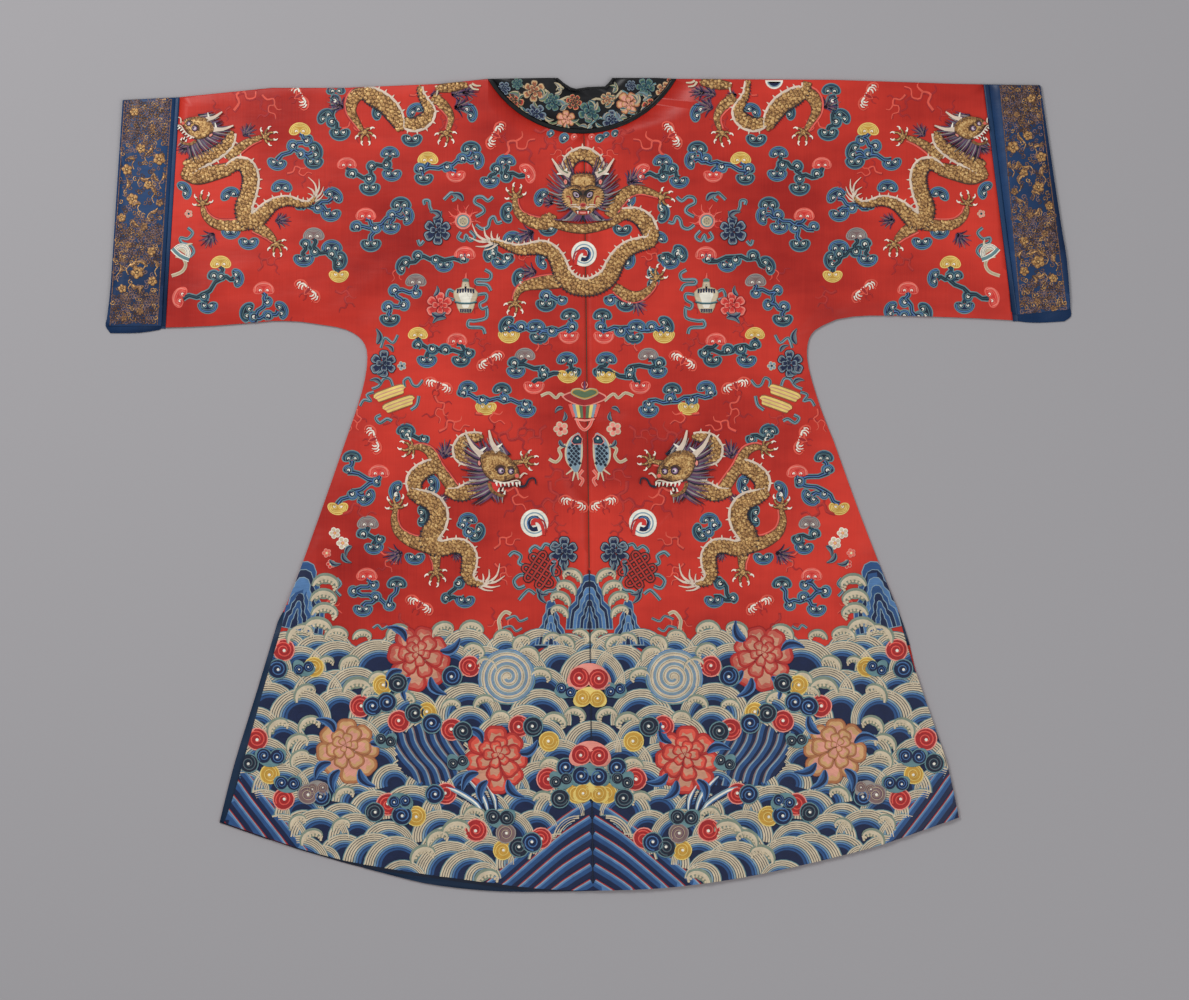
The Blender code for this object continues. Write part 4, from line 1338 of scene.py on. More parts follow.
def draw_front_head():
    """The head that looks straight out of the cloth, its middle at the eyes' height."""
    work = Sewing()
    for side in (-1, 1):
        for i in range(34):
            out = ray(66 - 3.3 * i) * Vector((side, 1))
            reach = 35 + 3.5 * math.sin(2.6 * i) - 4.5 * (i > 22)
            points = (out * 12, out * (12 + reach) / 2 - Vector((0, 1.2)), out * reach + Vector((0, 4.5)))
            strand(work, points, MANE[i % 7], 2.8, 0.5, 1.3 + 0.05 * (i % 3), 2)
        for i in range(9):
            points = ((1.4 * i, -20.5 + 0.4 * i), (2.6 * i + 1, -26), (3.4 * i + 2, -28.5 + 0.4 * i))
            strand(work, flipped(side, points), MANE[(2 * i + 1) % 7], 2.8, 0.6, 2.4, 2)
    face = blob(both_sides(FACE_HALF))
    for root in face:
        strand(work, (root * 0.93, root * 1.1), "ink", 1.3, 0.5, 1.8, steps=1)
    work.fill(face, FACE_RINGS, 1.9)
    rings = (("old_gold", 1.0, 0.2), ("gold", 1.4, 0.2), ("pale_gold", 0, 0))
    work.fill(blob(both_sides(FOREHEAD)), rings, 2.6)
    for i in range(11):
        x = -9 + 1.8 * i
        points = ((x * 0.9, 18.2 - abs(x) * 0.2), (x, 12), (x * 0.8, 7.2))
        strand(work, points, "old_gold", 0.7, 0.7, 2.9, 1, 0.1)
    for side in (-1, 1):
        for i in range(9):
            angle = math.radians(48 - 16 * i)
            right, up = math.cos(angle), math.sin(angle)
            lash = ((11.5 + 4.5 * right, -3.5 + 8.0 * up), (13.0 + 8.4 * right, -3.5 + 10.5 * up))
            strand(work, flipped(side, lash), "pale_gold" if i % 2 else "tan", 1.8, 0.7, 2.6, 1)
        for points, rings, lift in FRONT_PATCHES:
            work.fill(blob(flipped(side, points)), rings, lift)
        work.fill(disc((6.3 * side, -1.7), 1.2, 8), (("black", 0, 0),), 3.8)
        strands(work, FRONT_LINES, lambda p: (p[0] * side, p[1]))
        work.fill(disc((15.2 * side, -6.8), 2.6, 9), (("pale_gold", 0.8, 0.2), ("tan", 0, 0)), 2.8)
        for y in (-12.6, -14.8):
            lip = flipped(side, ((2.6, y - 0.8), (6.6, y + 1.6), (13.0, y + 1.2)))
            strand(work, lip, "shell", 1.9, 0.6, 3.2)
        work.fill(disc((4.7 * side, -11.2), 2.0, 9), (("umber", 0.4, 0.2), ("tan", 0, 0)), 3.2)
        work.fill(flipped(side, EAR), (("umber", 0.7, 0.2), ("rose", 1.0, 0.1), ("coral", 0, 0)), 2.6)
        horn = flipped(side, ((13.0, 18.5), (17.5, 20.5), (23.0, 23.0), (27.0, 29.0), (31.0, 35.0)))
        strand(work, horn, "shell", 6.4, 1.2, 2.6, crown=0.8)
        root = Vector((18.0 * side, 20.8))
        for tip in ((26.0 * side, 19.6), (16.0 * side, 25.4)):
            strand(work, (root, (root + Vector(tip)) / 2, tip), "white", 4.0, 1.0, 2.5, 1)
        strand(work, flipped(side, ((15.0, 20.6), (19.0, 22.4), (22.5, 25.2))), "green", 1.2, 0.7, 3.5, 1)
    strand(work, ((0, 3.4), (0, 0), (0, -7.5)), "umber", 2.4, 1.2, 3.1)
    work.fill(arc((0, -11.4), 3.4, 0, 330, 11, 0.72), (("clay", 0.8, 0.3), ("crimson", 0, 0)), 3.4)
    for x in (-1.5, 1.5):
        work.fill(disc((x, -11.9), 0.6, 6), (("umber", 0, 0),), 4.0)
    strand(work, ((-7.6, -17.2), (0, -16.2), (7.6, -17.2)), "black", 1.1, 1.1, 3.2)
    work.fill(blob(both_sides(MOUTH)), (("crimson", 0.9, 0.2), ("scarlet", 0, 0)), 3.0)
    strand(work, ((-3.0, -19.0), (0, -19.3), (3.0, -19.0)), "rose", 1.8, 1.8, 3.3, 2)
    for x in (-5.4, 5.4):
        strand(work, ((x, -17.4), (x * 0.94, -20.2)), "white", 1.8, 0.5, 3.5, 1)
    return work.motif("front_head")


# %% Side head
SIDE_FACE = (
    (-15.8, 8.5), (-9.7, 12.9), (0, 13.9), (9.7, 10.2), (17, 3.4), (22.2, -4.0), (21.6, -11.2),
    (12.1, -15.8), (2.4, -17.6), (-7.3, -14.5), (-13.3, -7.3), (-15.8, 1.2),
)
JAW = ((-8, -15), (6, -18), (24, -15.5), (23.5, -20), (12, -22), (4, -24), (6, -31), (-3, -29), (-8, -22))
SIDE_RINGS = (
    ("umber", 0.8, 0.3), ("old_gold", 1.8, 0.3), ("gold", 2.4, 0.2), ("pale_gold", 2.2, 0.1),
    ("gold", 0, 0),
)
SIDE_BUMPS = (
    # radius, sides, rings, lift, middles
    (
        3.2, 10, (("old_gold", 0.9, 0.2), ("pale_gold", 0, 0)), 2.6,
        ((-8.5, 3.5), (-2.0, 6.0), (-10.5, -4.0), (-4.0, -11.0)),
    ),
    (
        2.0, 8, (("umber", 0.5, 0.1), ("old_gold", 0, 0)), 2.7,
        ((-6.0, -7.5), (10.0, -0.5), (9.5, -12.5), (0.5, -1.0), (17.0, -0.5)),
    ),
)
LIDS = (
    # thread, widths at both ends, lift, points
    ("umber", 2.8, 1.2, 3.4, (-1.0, -5.0), (3.6, -0.8), (9.4, -2.6)),
    ("umber", 2.2, 1.0, 3.4, (11.2, -3.2), (14.6, -2.0), (18.8, -4.6)),
)
WHISKERS = (
    ("ink", 2.6, 1.2, 1.4, (23, -21.8), (29, -20.8), (32.6, -14.5), (38.2, -13.5), (39.6, -19.4)),
    ("shell", 2.2, 0.8, 1.6, (23, -13.0), (27.5, -8.5), (31.0, -9.5)),
)


def draw_side_head():
    """The head turned to the right, with both eyes showing and the mouth open."""
    work = Sewing()
    for i in range(32):
        root = Vector((-10.0 + 0.35 * i, 11.0 - 1.15 * i))
        reach = ray(136 + 2.7 * i) * (27 + 4 * math.sin(2.2 * i))
        points = (root, root + reach * 0.5 + Vector((0, -1.5)), root + reach)
        strand(work, points, MANE[i % 7], 3.0, 0.6, 1.2 + 0.05 * (i % 3), 2)
    for i in range(16):
        root = Vector((-12 + 1.7 * i, 10.0))
        points = (root, root + Vector((-6 - i * 0.25, 14 + 3 * math.sin(2.4 * i))))
        strand(work, points, MANE[i % 7], 2.8, 0.5, 1.3, 2)
    work.fill(blob(JAW), (("umber", 1.0, 0.2), ("crimson", 1.2, 0.1), ("scarlet", 0, 0)), 1.6)
    strand(work, ((-7, -18), (-4, -26), (5, -31), (8, -29)), "old_gold", 4.0, 2.4, 2.0)
    work.fill(blob(SIDE_FACE), SIDE_RINGS, 1.9)
    brow = ((-14.5, 7.5), (-8, 11.6), (1, 12.2), (10, 8.0), (16, 1.5))
    strand(work, brow, "old_gold", 5.0, 3.0, 2.7, crown=0.6)
    for radius, sides, rings, lift, middles in SIDE_BUMPS:
        for middle in middles:
            work.fill(disc(middle, radius, sides), rings, lift)
    sew_eye(work, 4.8, -6.0, 4.5, 1.2)
    sew_eye(work, 14.8, -6.6, 3.7, 1.2)
    strands(work, LIDS)
    work.fill(disc((20.5, -11.0), 3.2, 10), (("old_gold", 0.9, 0.3), ("coral", 0, 0)), 2.9)
    strand(work, ((-3, -15.5), (8, -18.2), (20, -15.5), (24, -17.5)), "shell", 2.0, 1.0, 3.0)
    for i, x in enumerate((0, 4, 8, 12, 16, 20, 23)):
        strand(work, ((x, -17.4), (x + 0.8, -21.2 - (i % 2))), "white", 2.6, 0.6, 3.1, steps=1)
    for x, y in ((6, -24.0), (2, -24.5), (8, -27.0)):
        strand(work, ((x, y - 2.5), (x + 1.0, y + 1.4)), "white", 2.2, 0.6, 3.0, steps=1)
    strands(work, WHISKERS)
    for i in range(6):
        root = Vector((-7.0 + 2.6 * i, -29.0))
        tip = root + Vector((5 - i, -8 + 2 * math.sin(2 * i)))
        strand(work, (root, tip), MANE[(i + 1) % 7], 2.4, 0.5, 1.2)
    ear = [(-19, 4), (-16.5, 5.6), (-14.5, 1), (-16.5, -2.4), (-19, 0)]
    work.fill(ear, (("umber", 0.6, 0.2), ("rose", 0, 0)), 2.5)
    for tip, base in (((-30.3, 30.9), (-14.5, 9.5)), ((-7.3, 34.5), (1.5, 13.0))):
        middle = ((tip[0] + base[0]) / 2 - 1.5, (tip[1] + base[1]) / 2 - 1.5)
        strand(work, (base, middle, tip), "shell", 6.4, 1.6, 2.7, crown=0.8)
        fork = ((base[0] - 1, base[1] + 4), (base[0] + 4.5, base[1] + 8))
        strand(work, fork, "white", 3.0, 1.0, 2.6, steps=1)
    return work.motif("side_head")


FRONT_HEAD = draw_front_head()
SIDE_HEAD = draw_side_head()
print("heads:", len(FRONT_HEAD.polygons), "and", len(SIDE_HEAD.polygons), "faces")

# %% [markdown]
# ## The seven dragons
# Each dragon is a table of places. Rows are x, y and width along a body or leg, from the head
# to the tail and from the body to the paw. Paws, tails and tufts have x, y, turn and size. A
# body starts with the side of its ridge and its lift. One function sews any of the tables.

# %% Dragon tables
FRONT_HEAD_PLACE = (583, 194)
FRONT_DRAGON = {
    "legs": (
        ((552, 216, 12), (546, 224, 13), (532, 222, 12), (520, 215, 9), (515.5, 206, 7), (515.5, 198, 5)),
        ((609, 215, 13), (618, 202, 13), (628, 192, 12), (640, 190, 9), (652, 193, 7), (659, 196, 5)),
        ((560, 281, 15), (541, 283, 14), (526, 286, 10), (518, 292, 7), (515, 300, 5)),
        ((616, 288, 10), (628, 296, 12), (640, 296, 10), (651, 288, 7), (655, 281, 5)),
    ),
    "bodies": (
        (1, 1.0, ((567, 175, 11), (570, 161, 13), (583, 154, 13.5), (596, 161, 13), (600, 174, 11))),
        (0, 0.9, ((543, 217, 8), (558, 225, 9), (583, 229, 10), (608, 224, 9), (625, 214, 10))),
        (1, 1.0, ((622, 214, 11), (635, 215, 15), (645, 222, 18), (650, 233, 17))),
        (-1, 1.2, (
            (654, 231, 10), (651, 241, 13), (640, 244.5, 14), (630, 248, 15.5), (621.5, 254.5, 16.5),
            (615, 264, 18), (608.5, 277, 19), (596, 285.5, 19), (583.7, 287.5, 18), (571.5, 284, 19),
            (562.5, 274, 18), (558, 262, 16.5), (552, 252.5, 15), (542, 248, 15), (530, 249, 12),
            (520, 250, 10.5), (509, 247, 7.5), (497, 242, 4.5), (491, 241, 3),
        )),
    ),
    "paws": ((515.5, 196, 0, 1.0), (662, 198, 110, 1.0), (515, 304, 190, 1.0), (656.5, 277, 15, 1.0)),
    "tails": ((492, 241, -72, 1.15),),
    "tufts": (
        (533, 232, -120, 1.0), (536, 272, -95, 0.9), (634, 300, 140, 0.9), (628, 184, 50, 1.1),
        (553, 204, -60, 0.7), (612, 207, 70, 0.7),
    ),
}
LOW_DRAGON = {
    "legs": (
        ((456, 492, 12), (447, 480, 12), (438, 467, 11), (430, 452, 10), (420, 447, 7), (413, 448, 5)),
        ((513, 463, 6), (522, 462, 5)),
        ((428, 545, 17), (412, 541, 13), (399, 532, 10), (394.5, 520, 7.5), (396, 509, 5)),
        ((435, 553, 12), (436.5, 563, 8), (436, 570, 6)),
    ),
    "bodies": (
        (-1, 1.0, ((482, 437, 8), (474, 437.5, 11), (464.5, 440.5, 13), (459, 449, 13), (461.5, 457.5, 12),
            (470, 461, 10))),
        (-1, 0.9, ((487, 482, 15), (473, 489, 17), (460, 494, 15), (447, 492, 8))),
        (-1, 1.0, ((434, 466, 15), (423, 471, 17), (414.5, 480, 17), (415.5, 491, 14))),
        (1, 1.2, (
            (410, 492, 10), (420, 497, 15), (432, 502, 18), (438.5, 512, 19.5), (437, 524, 20),
            (430, 535, 20), (431, 545, 19), (441, 548.5, 16), (453, 546, 15), (463, 547, 15.5),
            (469.5, 555, 15.5), (469, 566, 15.5), (467.5, 575, 13), (473, 582, 9), (482, 583.5, 5),
        )),
    ),
    "paws": ((411, 448, -85, 1.0), (526, 461, 75, 1.0), (396.5, 506, 5, 1.05), (436, 573, 180, 1.05)),
    "tails": ((484, 583, 62, 1.1),),
    "tufts": (
        (444, 458, 12, 1.0), (402, 553, -110, 1.0), (440, 500, 60, 0.5), (455, 553, 150, 0.5),
    ),
    "head": (496.4, 464.8, 0, 1.0, False),
}
SLEEVE_DRAGON = {
    "legs": (
        ((229, 158, 11), (239, 149, 10), (250, 142, 8), (261, 138, 5.5)),
        ((246, 224, 14), (232, 226, 12), (216, 224, 10), (206, 216, 7.5), (203, 207, 5)),
        ((256, 226, 14), (268, 234, 10), (275, 241, 6)),
    ),
    "bodies": (
        (1, 1.0, ((232, 133, 9), (228, 144, 12), (215, 154, 14), (199, 162, 15), (188, 168, 16))),
        (0, 1.1, ((184, 172, 14), (197, 176, 18), (214, 173, 16), (230, 169, 13))),
        (1, 1.2, (
            (228, 170, 10), (238, 164, 13), (247, 167, 16), (251, 178, 17), (249, 193, 17), (244, 208, 18),
            (247, 220, 18), (257, 220, 17), (266, 211, 15), (275, 204, 12), (288, 201, 10), (300, 204, 8),
            (309, 204, 6), (315, 198, 4),
        )),
    ),
    "paws": ((266, 137, 75, 0.95), (203, 203, 5, 0.95), (277, 245, 165, 0.95)),
    "tails": ((315, 197, 5, 0.9),),
    "tufts": ((244, 136, 40, 0.8), (214, 234, -140, 0.9), (276, 221, 85, 0.8), (188, 148, -110, 0.6)),
    "head": (201, 128, 42, 0.76, True),
}
SHOULDER_DRAGON = {
    "legs": (
        ((364, 94, 12), (357, 95, 14), (352, 102, 13), (351.5, 112, 10), (357, 122, 7), (362, 130, 5)),
        ((434, 98, 11), (445, 107, 10), (451, 118, 7), (448, 130, 5)),
    ),
    "bodies": (
        (-1, 1.0, ((403, 122, 10), (413, 125, 14), (424, 121, 15), (430, 112, 12), (425, 102, 9),
            (421, 94, 7), (420, 87, 6))),
        (1, 1.2, ((362, 90, 9), (366, 93, 15), (374, 97.5, 19), (385, 104, 19), (393, 113, 18),
            (398, 122, 14), (400, 129, 9))),
    ),
    "paws": ((365, 133, 165, 1.0), (446, 134, 190, 1.0)),
    "tails": (),
    "tufts": ((343, 108, -60, 0.9), (455, 108, 75, 1.0), (431, 95, 100, 0.6), (452, 95, 70, 0.9),
        (463, 93, 80, 0.8)),
}
RIGHT_TOPS = ((419, 82, 6), (360, 84, 10))
BROW = ((437, 89, 7), (446, 88, 10), (457, 86.5, 10), (466, 85.5, 6))
SHOULDER_RISE = 3
HALF_PEARL = (774, 80.5)
TUSKS = (
    ((436, 86), (437.5, 91), (436.5, 96)), ((470, 85), (473, 89), (479, 90)),
    ((472, 84), (476, 86), (481, 86))
)
print("legs of the dragons at the waist:", len(LOW_DRAGON["legs"]))


# %% Sew the dragons
def sew_shoulder(work, side):
    """What shows of a dragon below the shoulder fold: body, brow, tusks, on the right its pearl."""
    (way_in, low, inner), (way_out, high, outer) = SHOULDER_DRAGON["bodies"]
    if side > 0:
        inner, outer = inner + RIGHT_TOPS[:1], RIGHT_TOPS[1:] + outer
    sew_dragon(work, side, dict(SHOULDER_DRAGON, bodies=((way_in, low, inner), (way_out, high, outer))))
    rise = SHOULDER_RISE if side > 0 else 0
    sew_body(work, [(*on_half(side, x, y - rise), width) for x, y, width in BROW], 0, 1.0)
    for tusk in TUSKS:
        strand(work, [on_half(side, x, y - rise) for x, y in tusk], "cream", 2.4, 1.2, 2.0)
    if side > 0:
        rings = (("white", 1.5, 0.2), ("sky", 1.3, 0.1), ("navy", 0, 0))
        work.fill(arc(at(*HALF_PEARL), 9.0, 180, 360, 12), rings, 1.0)


def sew_dragon(work, side, table):
    """A whole dragon. On the right half everything is mirrored."""
    flip = side > 0
    for x, y, turn, size in table["tufts"]:
        work.stamp(TUFT, on_half(side, x, y), size, turn=turn * side, flip=flip, threads=TUFT_THREADS)
    for x, y, turn, size in table["tails"]:
        way = flip != (turn < 0)
        work.stamp(TAIL, on_half(side, x, y), size, turn * side, way, lift=0.2, threads=("shell",))
    for rows in table["legs"]:
        rows = [(*on_half(side, x, y), width) for x, y, width in rows]
        places, widths = trail(rows, BODY_STEP)
        work.band(edge_path(places, widths, side, 0.3), LEG_THREADS, 2.4, 0.8, 0.2)
        sew_body(work, rows, 0, 0.7, 0.8)
    for x, y, turn, size in table["paws"]:
        work.stamp(PAW, on_half(side, x, y), size, turn=turn * side, flip=flip, threads=PAW_THREADS)
    for ridge, lift, rows in table["bodies"]:
        rows = [(*on_half(side, x, y), width) for x, y, width in rows]
        sew_body(work, rows, ridge * -side, lift)
    if "head" in table:
        x, y, turn, size, turned = table["head"]
        work.stamp(SIDE_HEAD, on_half(side, x, y), size, turn=turn * side, flip=flip != turned, lift=1.9)


work = Sewing()
sew_dragon(work, -1, FRONT_DRAGON)
work.stamp(FRONT_HEAD, at(*FRONT_HEAD_PLACE), lift=1.6)
work.finish("dragon_middle")
for side, word in HALVES:
    for table, kind in ((LOW_DRAGON, "low"), (SLEEVE_DRAGON, "sleeve"), (SHOULDER_DRAGON, "shoulder")):
        work = Sewing()
        if table is SHOULDER_DRAGON:
            sew_shoulder(work, side)
        else:
            sew_dragon(work, side, table)
        work.finish("dragon_" + kind + "_" + word)

# %% [markdown]
# ## What floats on the sea
# Dark blue lies under all the waves. On them sit peonies, round curls of many colours, two
# whirlpools, stepped rocks and, at the hem, the diagonal stripes of standing water. All are
# worked on top of the waves, so they stand a little higher.

# %% Water under the waves
BASE_STEP = 7
BASE_LEFT, BASE_RIGHT, BASE_TOP, BASE_FOOT = 206, 962, 640, 904
BASE_LIFT = 0.12
SHORE_CLEAR = 8


def shore(x):
    """The pixel row where the sea begins: high at the sides and in the middle."""
    away = abs(x - 590)
    middle, sides = 16 * math.exp(-((away / 60) ** 2)), 28 * max(0, away - 255) / 60
    return 652 + 8 * math.sin(away * 0.045) - middle - sides


bm = bmesh.new()
layer = bm.faces.layers.float.new("lay")
columns, rows = (BASE_RIGHT - BASE_LEFT) // BASE_STEP, (BASE_FOOT - BASE_TOP) // BASE_STEP
bmesh.ops.create_grid(bm, x_segments=columns, y_segments=rows, size=0.5)
bmesh.ops.scale(bm, verts=bm.verts, vec=(columns * BASE_STEP, rows * BASE_STEP, 1.0))
middle = at((BASE_LEFT + BASE_RIGHT) / 2, (BASE_TOP + BASE_FOOT) / 2)
bmesh.ops.translate(bm, verts=bm.verts, vec=(middle.x, middle.y, BASE_LIFT))
for face in bm.faces:
    face.material_index = THREAD_INDEX["navy"]
dry = []
for face in bm.faces:
    x, y = face.calc_center_median().xy
    if ORIGIN_PIXEL[1] - y < shore(x + ORIGIN_PIXEL[0]) + SHORE_CLEAR:
        dry.append(face)
bmesh.ops.delete(bm, geom=dry, context="FACES")
work = Sewing()
work.add(bm)
work.finish("deep_water")

# %% Rocks, standing water and whirlpools
ROCK_HALF = (
    (0, 0), (5.5, -1.5), (9, -7), (9.5, -12), (14, -18), (14.5, -27), (21, -33), (23, -44), (24, -56),
    (0, -56)
)
PEAK_HALF = (
    (0, 0), (4, -1.5), (5.5, -6.5), (5.5, -12), (8.5, -17), (9, -24), (13.5, -30), (16.5, -46), (0, -46)
)
ROCK_THREADS = ("blue", "navy", "azure", "blue", "navy", "blue", "navy")
STANDING_THREADS = (
    ("crimson", 0.08, 0.2), ("sky", 0.08, 0.2), ("azure", 0.13, 0.1), ("blue", 0.33, 0.0),
    ("navy", 0.38, -0.1),
)
STANDING_ROWS = 7
STANDING_PITCH = 16.0
CORNER_PATH = ((236, 768), (246, 778), (259, 796), (276, 818), (298, 846), (310, 862))
CORNER_STEP = (-13.0, 3.0)
STRIPE_PATH = ((382, 716), (389, 732), (393, 746), (402, 760), (413, 773), (418, 790))
STRIPE_STEP = (10.0, -1.0)
STRIPE_THREADS = (("taupe", 0.12, 0.2), ("sky", 0.12, 0.1), ("blue", 0.36, 0.0), ("navy", 0.4, -0.1))
WHIRL_STEPS = 92
WHIRL_THREADS = (
    ("cream", 0.18, 0.3), ("cream", 0.14, 0.0), ("ink", 0.05, 0.0), ("cream", 0.14, 0.3),
    ("sky", 0.18, 0.0), ("slate", 0.05, 0.0), ("sky", 0.12, 0.1), ("azure", 0.14, 0.0),
)
BLADE_THREADS = (
    ("navy", 0.22, 0.1), ("sky", 0.2, 0.1), ("white", 0.2, 0.0), ("azure", 0.16, 0.0), ("navy", 0.22, 0.0)
)
BLADES = (
    # x, y, width along the pale blades under the low peony
    ((446, 787, 3), (455, 790, 8), (466, 796, 9), (477, 804, 8), (485, 815, 3)),
    ((465, 776, 3), (473, 783, 8), (481, 793, 9), (486, 803, 7), (489, 815, 3)),
    ((486, 784, 3), (491, 791, 7), (495, 800, 7), (496, 810, 3)),
)


def mirrored(side, threads):
    """Threads in the order that keeps the same one on top on either half."""
    return threads if side < 0 else tuple(reversed(threads))


def sew_stripes(work, side, count, points, step, steps, threads, shape):
    """Stripes side by side. shape: their width, lift and crown."""
    for k in range(count):
        path = [on_half(side, x + step[0] * k, y + step[1] * k) for x, y in points]
        work.band(smooth(path, steps), mirrored(side, tuple(reversed(threads))), *shape)


def sew_rock(work, place, half, steps, turn=0.0, size=1.0):
    """A stepped rock of nested contours with pale edges, its top at a place."""
    tilt = Matrix.Rotation(math.radians(turn), 2)
    foot = half[-1][1]
    for k in range(steps):
        shrink = 1 - k / steps
        inner = [(x * shrink, foot + (y - foot) * (1 - 0.8 * k / steps)) for x, y in half]
        points = [place + tilt @ (Vector(p) * size) for p in both_sides(inner)]
        work.fill(points, (("sky", 0.75, 0.1), (ROCK_THREADS[k], 0, 0)), 0.8 + 0.16 * k)


def sew_whirl(work, place, radius, side):
    """A whirlpool: cords that wind in to a middle."""
    path = []
    for i in range(WHIRL_STEPS):
        reach = radius * (1 - i / WHIRL_STEPS) + 1.0
        path.append(place + ray(200 - 15.5 * i) * Vector((-side, 1)) * reach)
    work.fill(disc(place, radius + 2, 24), (("sea", 1.5, 0.2), ("cream", 0, 0)), 1.3)
    work.band(path, mirrored(side, WHIRL_THREADS), radius * 0.27, 1.7, 0.1)


work = Sewing()
sew_rock(work, at(589.5, 573.5), ROCK_HALF, 7)
for side in (-1, 1):
    sew_rock(work, on_half(side, 551, 599.5), PEAK_HALF, 5)
    sew_rock(work, on_half(side, 308, 561), ROCK_HALF, 7, turn=12 * side, size=1.25)
    for k in range(STANDING_ROWS):
        y = STANDING_TOP - 2 + STANDING_PITCH * k
        path = [(seam_x(y), y), (566, y + 17), (543, y + 36), (519, y + 57), (494, y + 79), (478, y + 94)]
        path = [on_half(side, *p) for p in path]
        work.band(smooth(path, 3), mirrored(side, STANDING_THREADS), 12.5, 0.6 + 0.04 * k, 0.7)
    sew_stripes(work, side, 6, CORNER_PATH, CORNER_STEP, 3, STANDING_THREADS, (11.5, 0.6, 0.7))
    sew_stripes(work, side, 7, STRIPE_PATH, STRIPE_STEP, 4, STRIPE_THREADS, (10.6, 0.15, 0.5))
    for rows in BLADES:
        rows = curve([(*on_half(side, x, y), width) for x, y, width in rows], 2)
        work.band([p.xy for p in rows], BLADE_THREADS, [p.z for p in rows], 1.3, 0.5)
    sew_whirl(work, on_half(side, 508, 677), 26, side)
work.finish("rocks_and_stripes")

# %% Petals, curls and leaves
BLOOMS = {
    # scheme: rim, edge, body, heart
    "pink": ("crimson", "brick", "clay", "dust"),
    "red": ("crimson", "brick", "flame", "dust"),
    "tan": ("rust", "caramel", "tan", "blush"),
    "blue": ("ink", "sky", "slate", "navy"),
    "coral": ("crimson", "rose", "coral", "scarlet"),
    "sand": ("umber", "sand", "tan", "rust"),
    "green": ("ink", "sea", "green", "teal"),
    "rust": ("umber", "tan", "brick", "umber"),
}
PETAL = (
    (0, -2), (3.6, 0.6), (6.4, 5.2), (6.8, 9.6), (4.2, 12.8), (0.4, 13.2), (-3.6, 13.2), (-6.7, 10.0),
    (-6.6, 5.3), (-3.6, 0.6)
)
PETAL_HEART = (
    (0, -1.4), (2.6, 0.6), (4.2, 4.8), (2.8, 9.2), (0.2, 8.0), (-2.6, 9.4), (-4.2, 4.8), (-2.6, 0.6)
)
BLOOM_RINGS = (
    # petals, distance from the ring's middle, size, rise, how far the ring's middle lies up
    (8, 9.5, 1.18, 0.0, 0.0),
    (6, 5.5, 0.94, 0.35, 2.0),
    (5, 2.4, 0.64, 0.7, 4.0),
    (3, 0.4, 0.44, 1.0, 5.0),
)
SMALL_RINGS = ((6, 9.0, 1.4, 0.0, 0.0), (4, 3.4, 0.95, 0.35, 1.5), (3, 0.5, 0.5, 0.7, 2.5))


def draw_bloom(rings, rim, edge):
    """A peony: rings of petals, smaller, higher and further up toward the bud."""
    work = Sewing()
    for count, out, size, rise, up in rings:
        for i in range(count):
            turn = Matrix.Rotation(math.radians(360 * i / count + 11 * out), 2)
            wide = size * (1.0 + 0.1 * math.sin(5 * i + out))
            lift = 1.2 + rise + 0.02 * i

            def spots(shape, steps):
                places = [turn @ (Vector(p) * wide + Vector((0, out))) for p in shape]
                return smooth([p + Vector((0, up)) for p in places], steps, closed=True)

            work.fill(spots(PETAL, 2), ((0, rim * wide, 0.08), (1, edge * wide, 0.1), (2, 0, 0)), lift)
            work.fill(spots(PETAL_HEART, 1), ((3, 0, 0),), lift + 0.22)
    work.fill(disc((0, 5), 1.4, 8), ((0, 0.4, 0.1), (3, 0, 0)), 2.6)
    return work.motif("bloom")


def draw_knob():
    """A round curl of concentric threads with a white knot."""
    work = Sewing()
    outline = (
        (-9.6, 0.5), (-6.4, 7.0), (0.5, 9.6), (7.4, 6.4), (9.4, -0.6), (6.0, -7.4), (-0.8, -9.2),
        (-7.2, -6.0),
    )
    work.fill(blob(outline), ((0, 0.9, 0.1), (1, 0, 0)), 1.6)
    spiral = []
    for i in range(26):
        angle = math.radians(150 - 25 * i)
        reach = 7.0 - 0.22 * i
        spiral.append(Vector((math.cos(angle), math.sin(angle) * 0.95)) * reach)
    widths = [1.3 - 0.01 * i for i in range(26)]
    work.band(spiral, ((3, 0.5, 0.0), (2, 0.5, 0.0)), widths, 2.0, 0.25)
    work.fill(disc((0.4, -0.3), 1.5, 8), ((4, 0.4, 0.15), (4, 0, 0)), 2.3)
    return work.motif("knob")


def draw_leaf():
    """A curled leaf that reaches up."""
    work = Sewing()
    work.band(
        smooth([(0, 0), (1.5, 4), (0.5, 8), (-2.5, 11.5)], 3),
        ((0, 0.2, 0.1), (1, 0.3, 0.1), (2, 0.3, 0.0), (0, 0.2, 0.0)),
        [1.4, 3.0, 4.4, 5.2, 5.2, 4.6, 3.8, 2.8, 1.8, 0.8],
        1.3,
    )
    return work.motif("leaf")


BLOOM = draw_bloom(BLOOM_RINGS, 0.5, 1.4)
SMALL_BLOOM = draw_bloom(SMALL_RINGS, 1.1, 1.0)
KNOB = draw_knob()
LEAF = draw_leaf()
print("peony:", len(BLOOM.polygons), "faces")

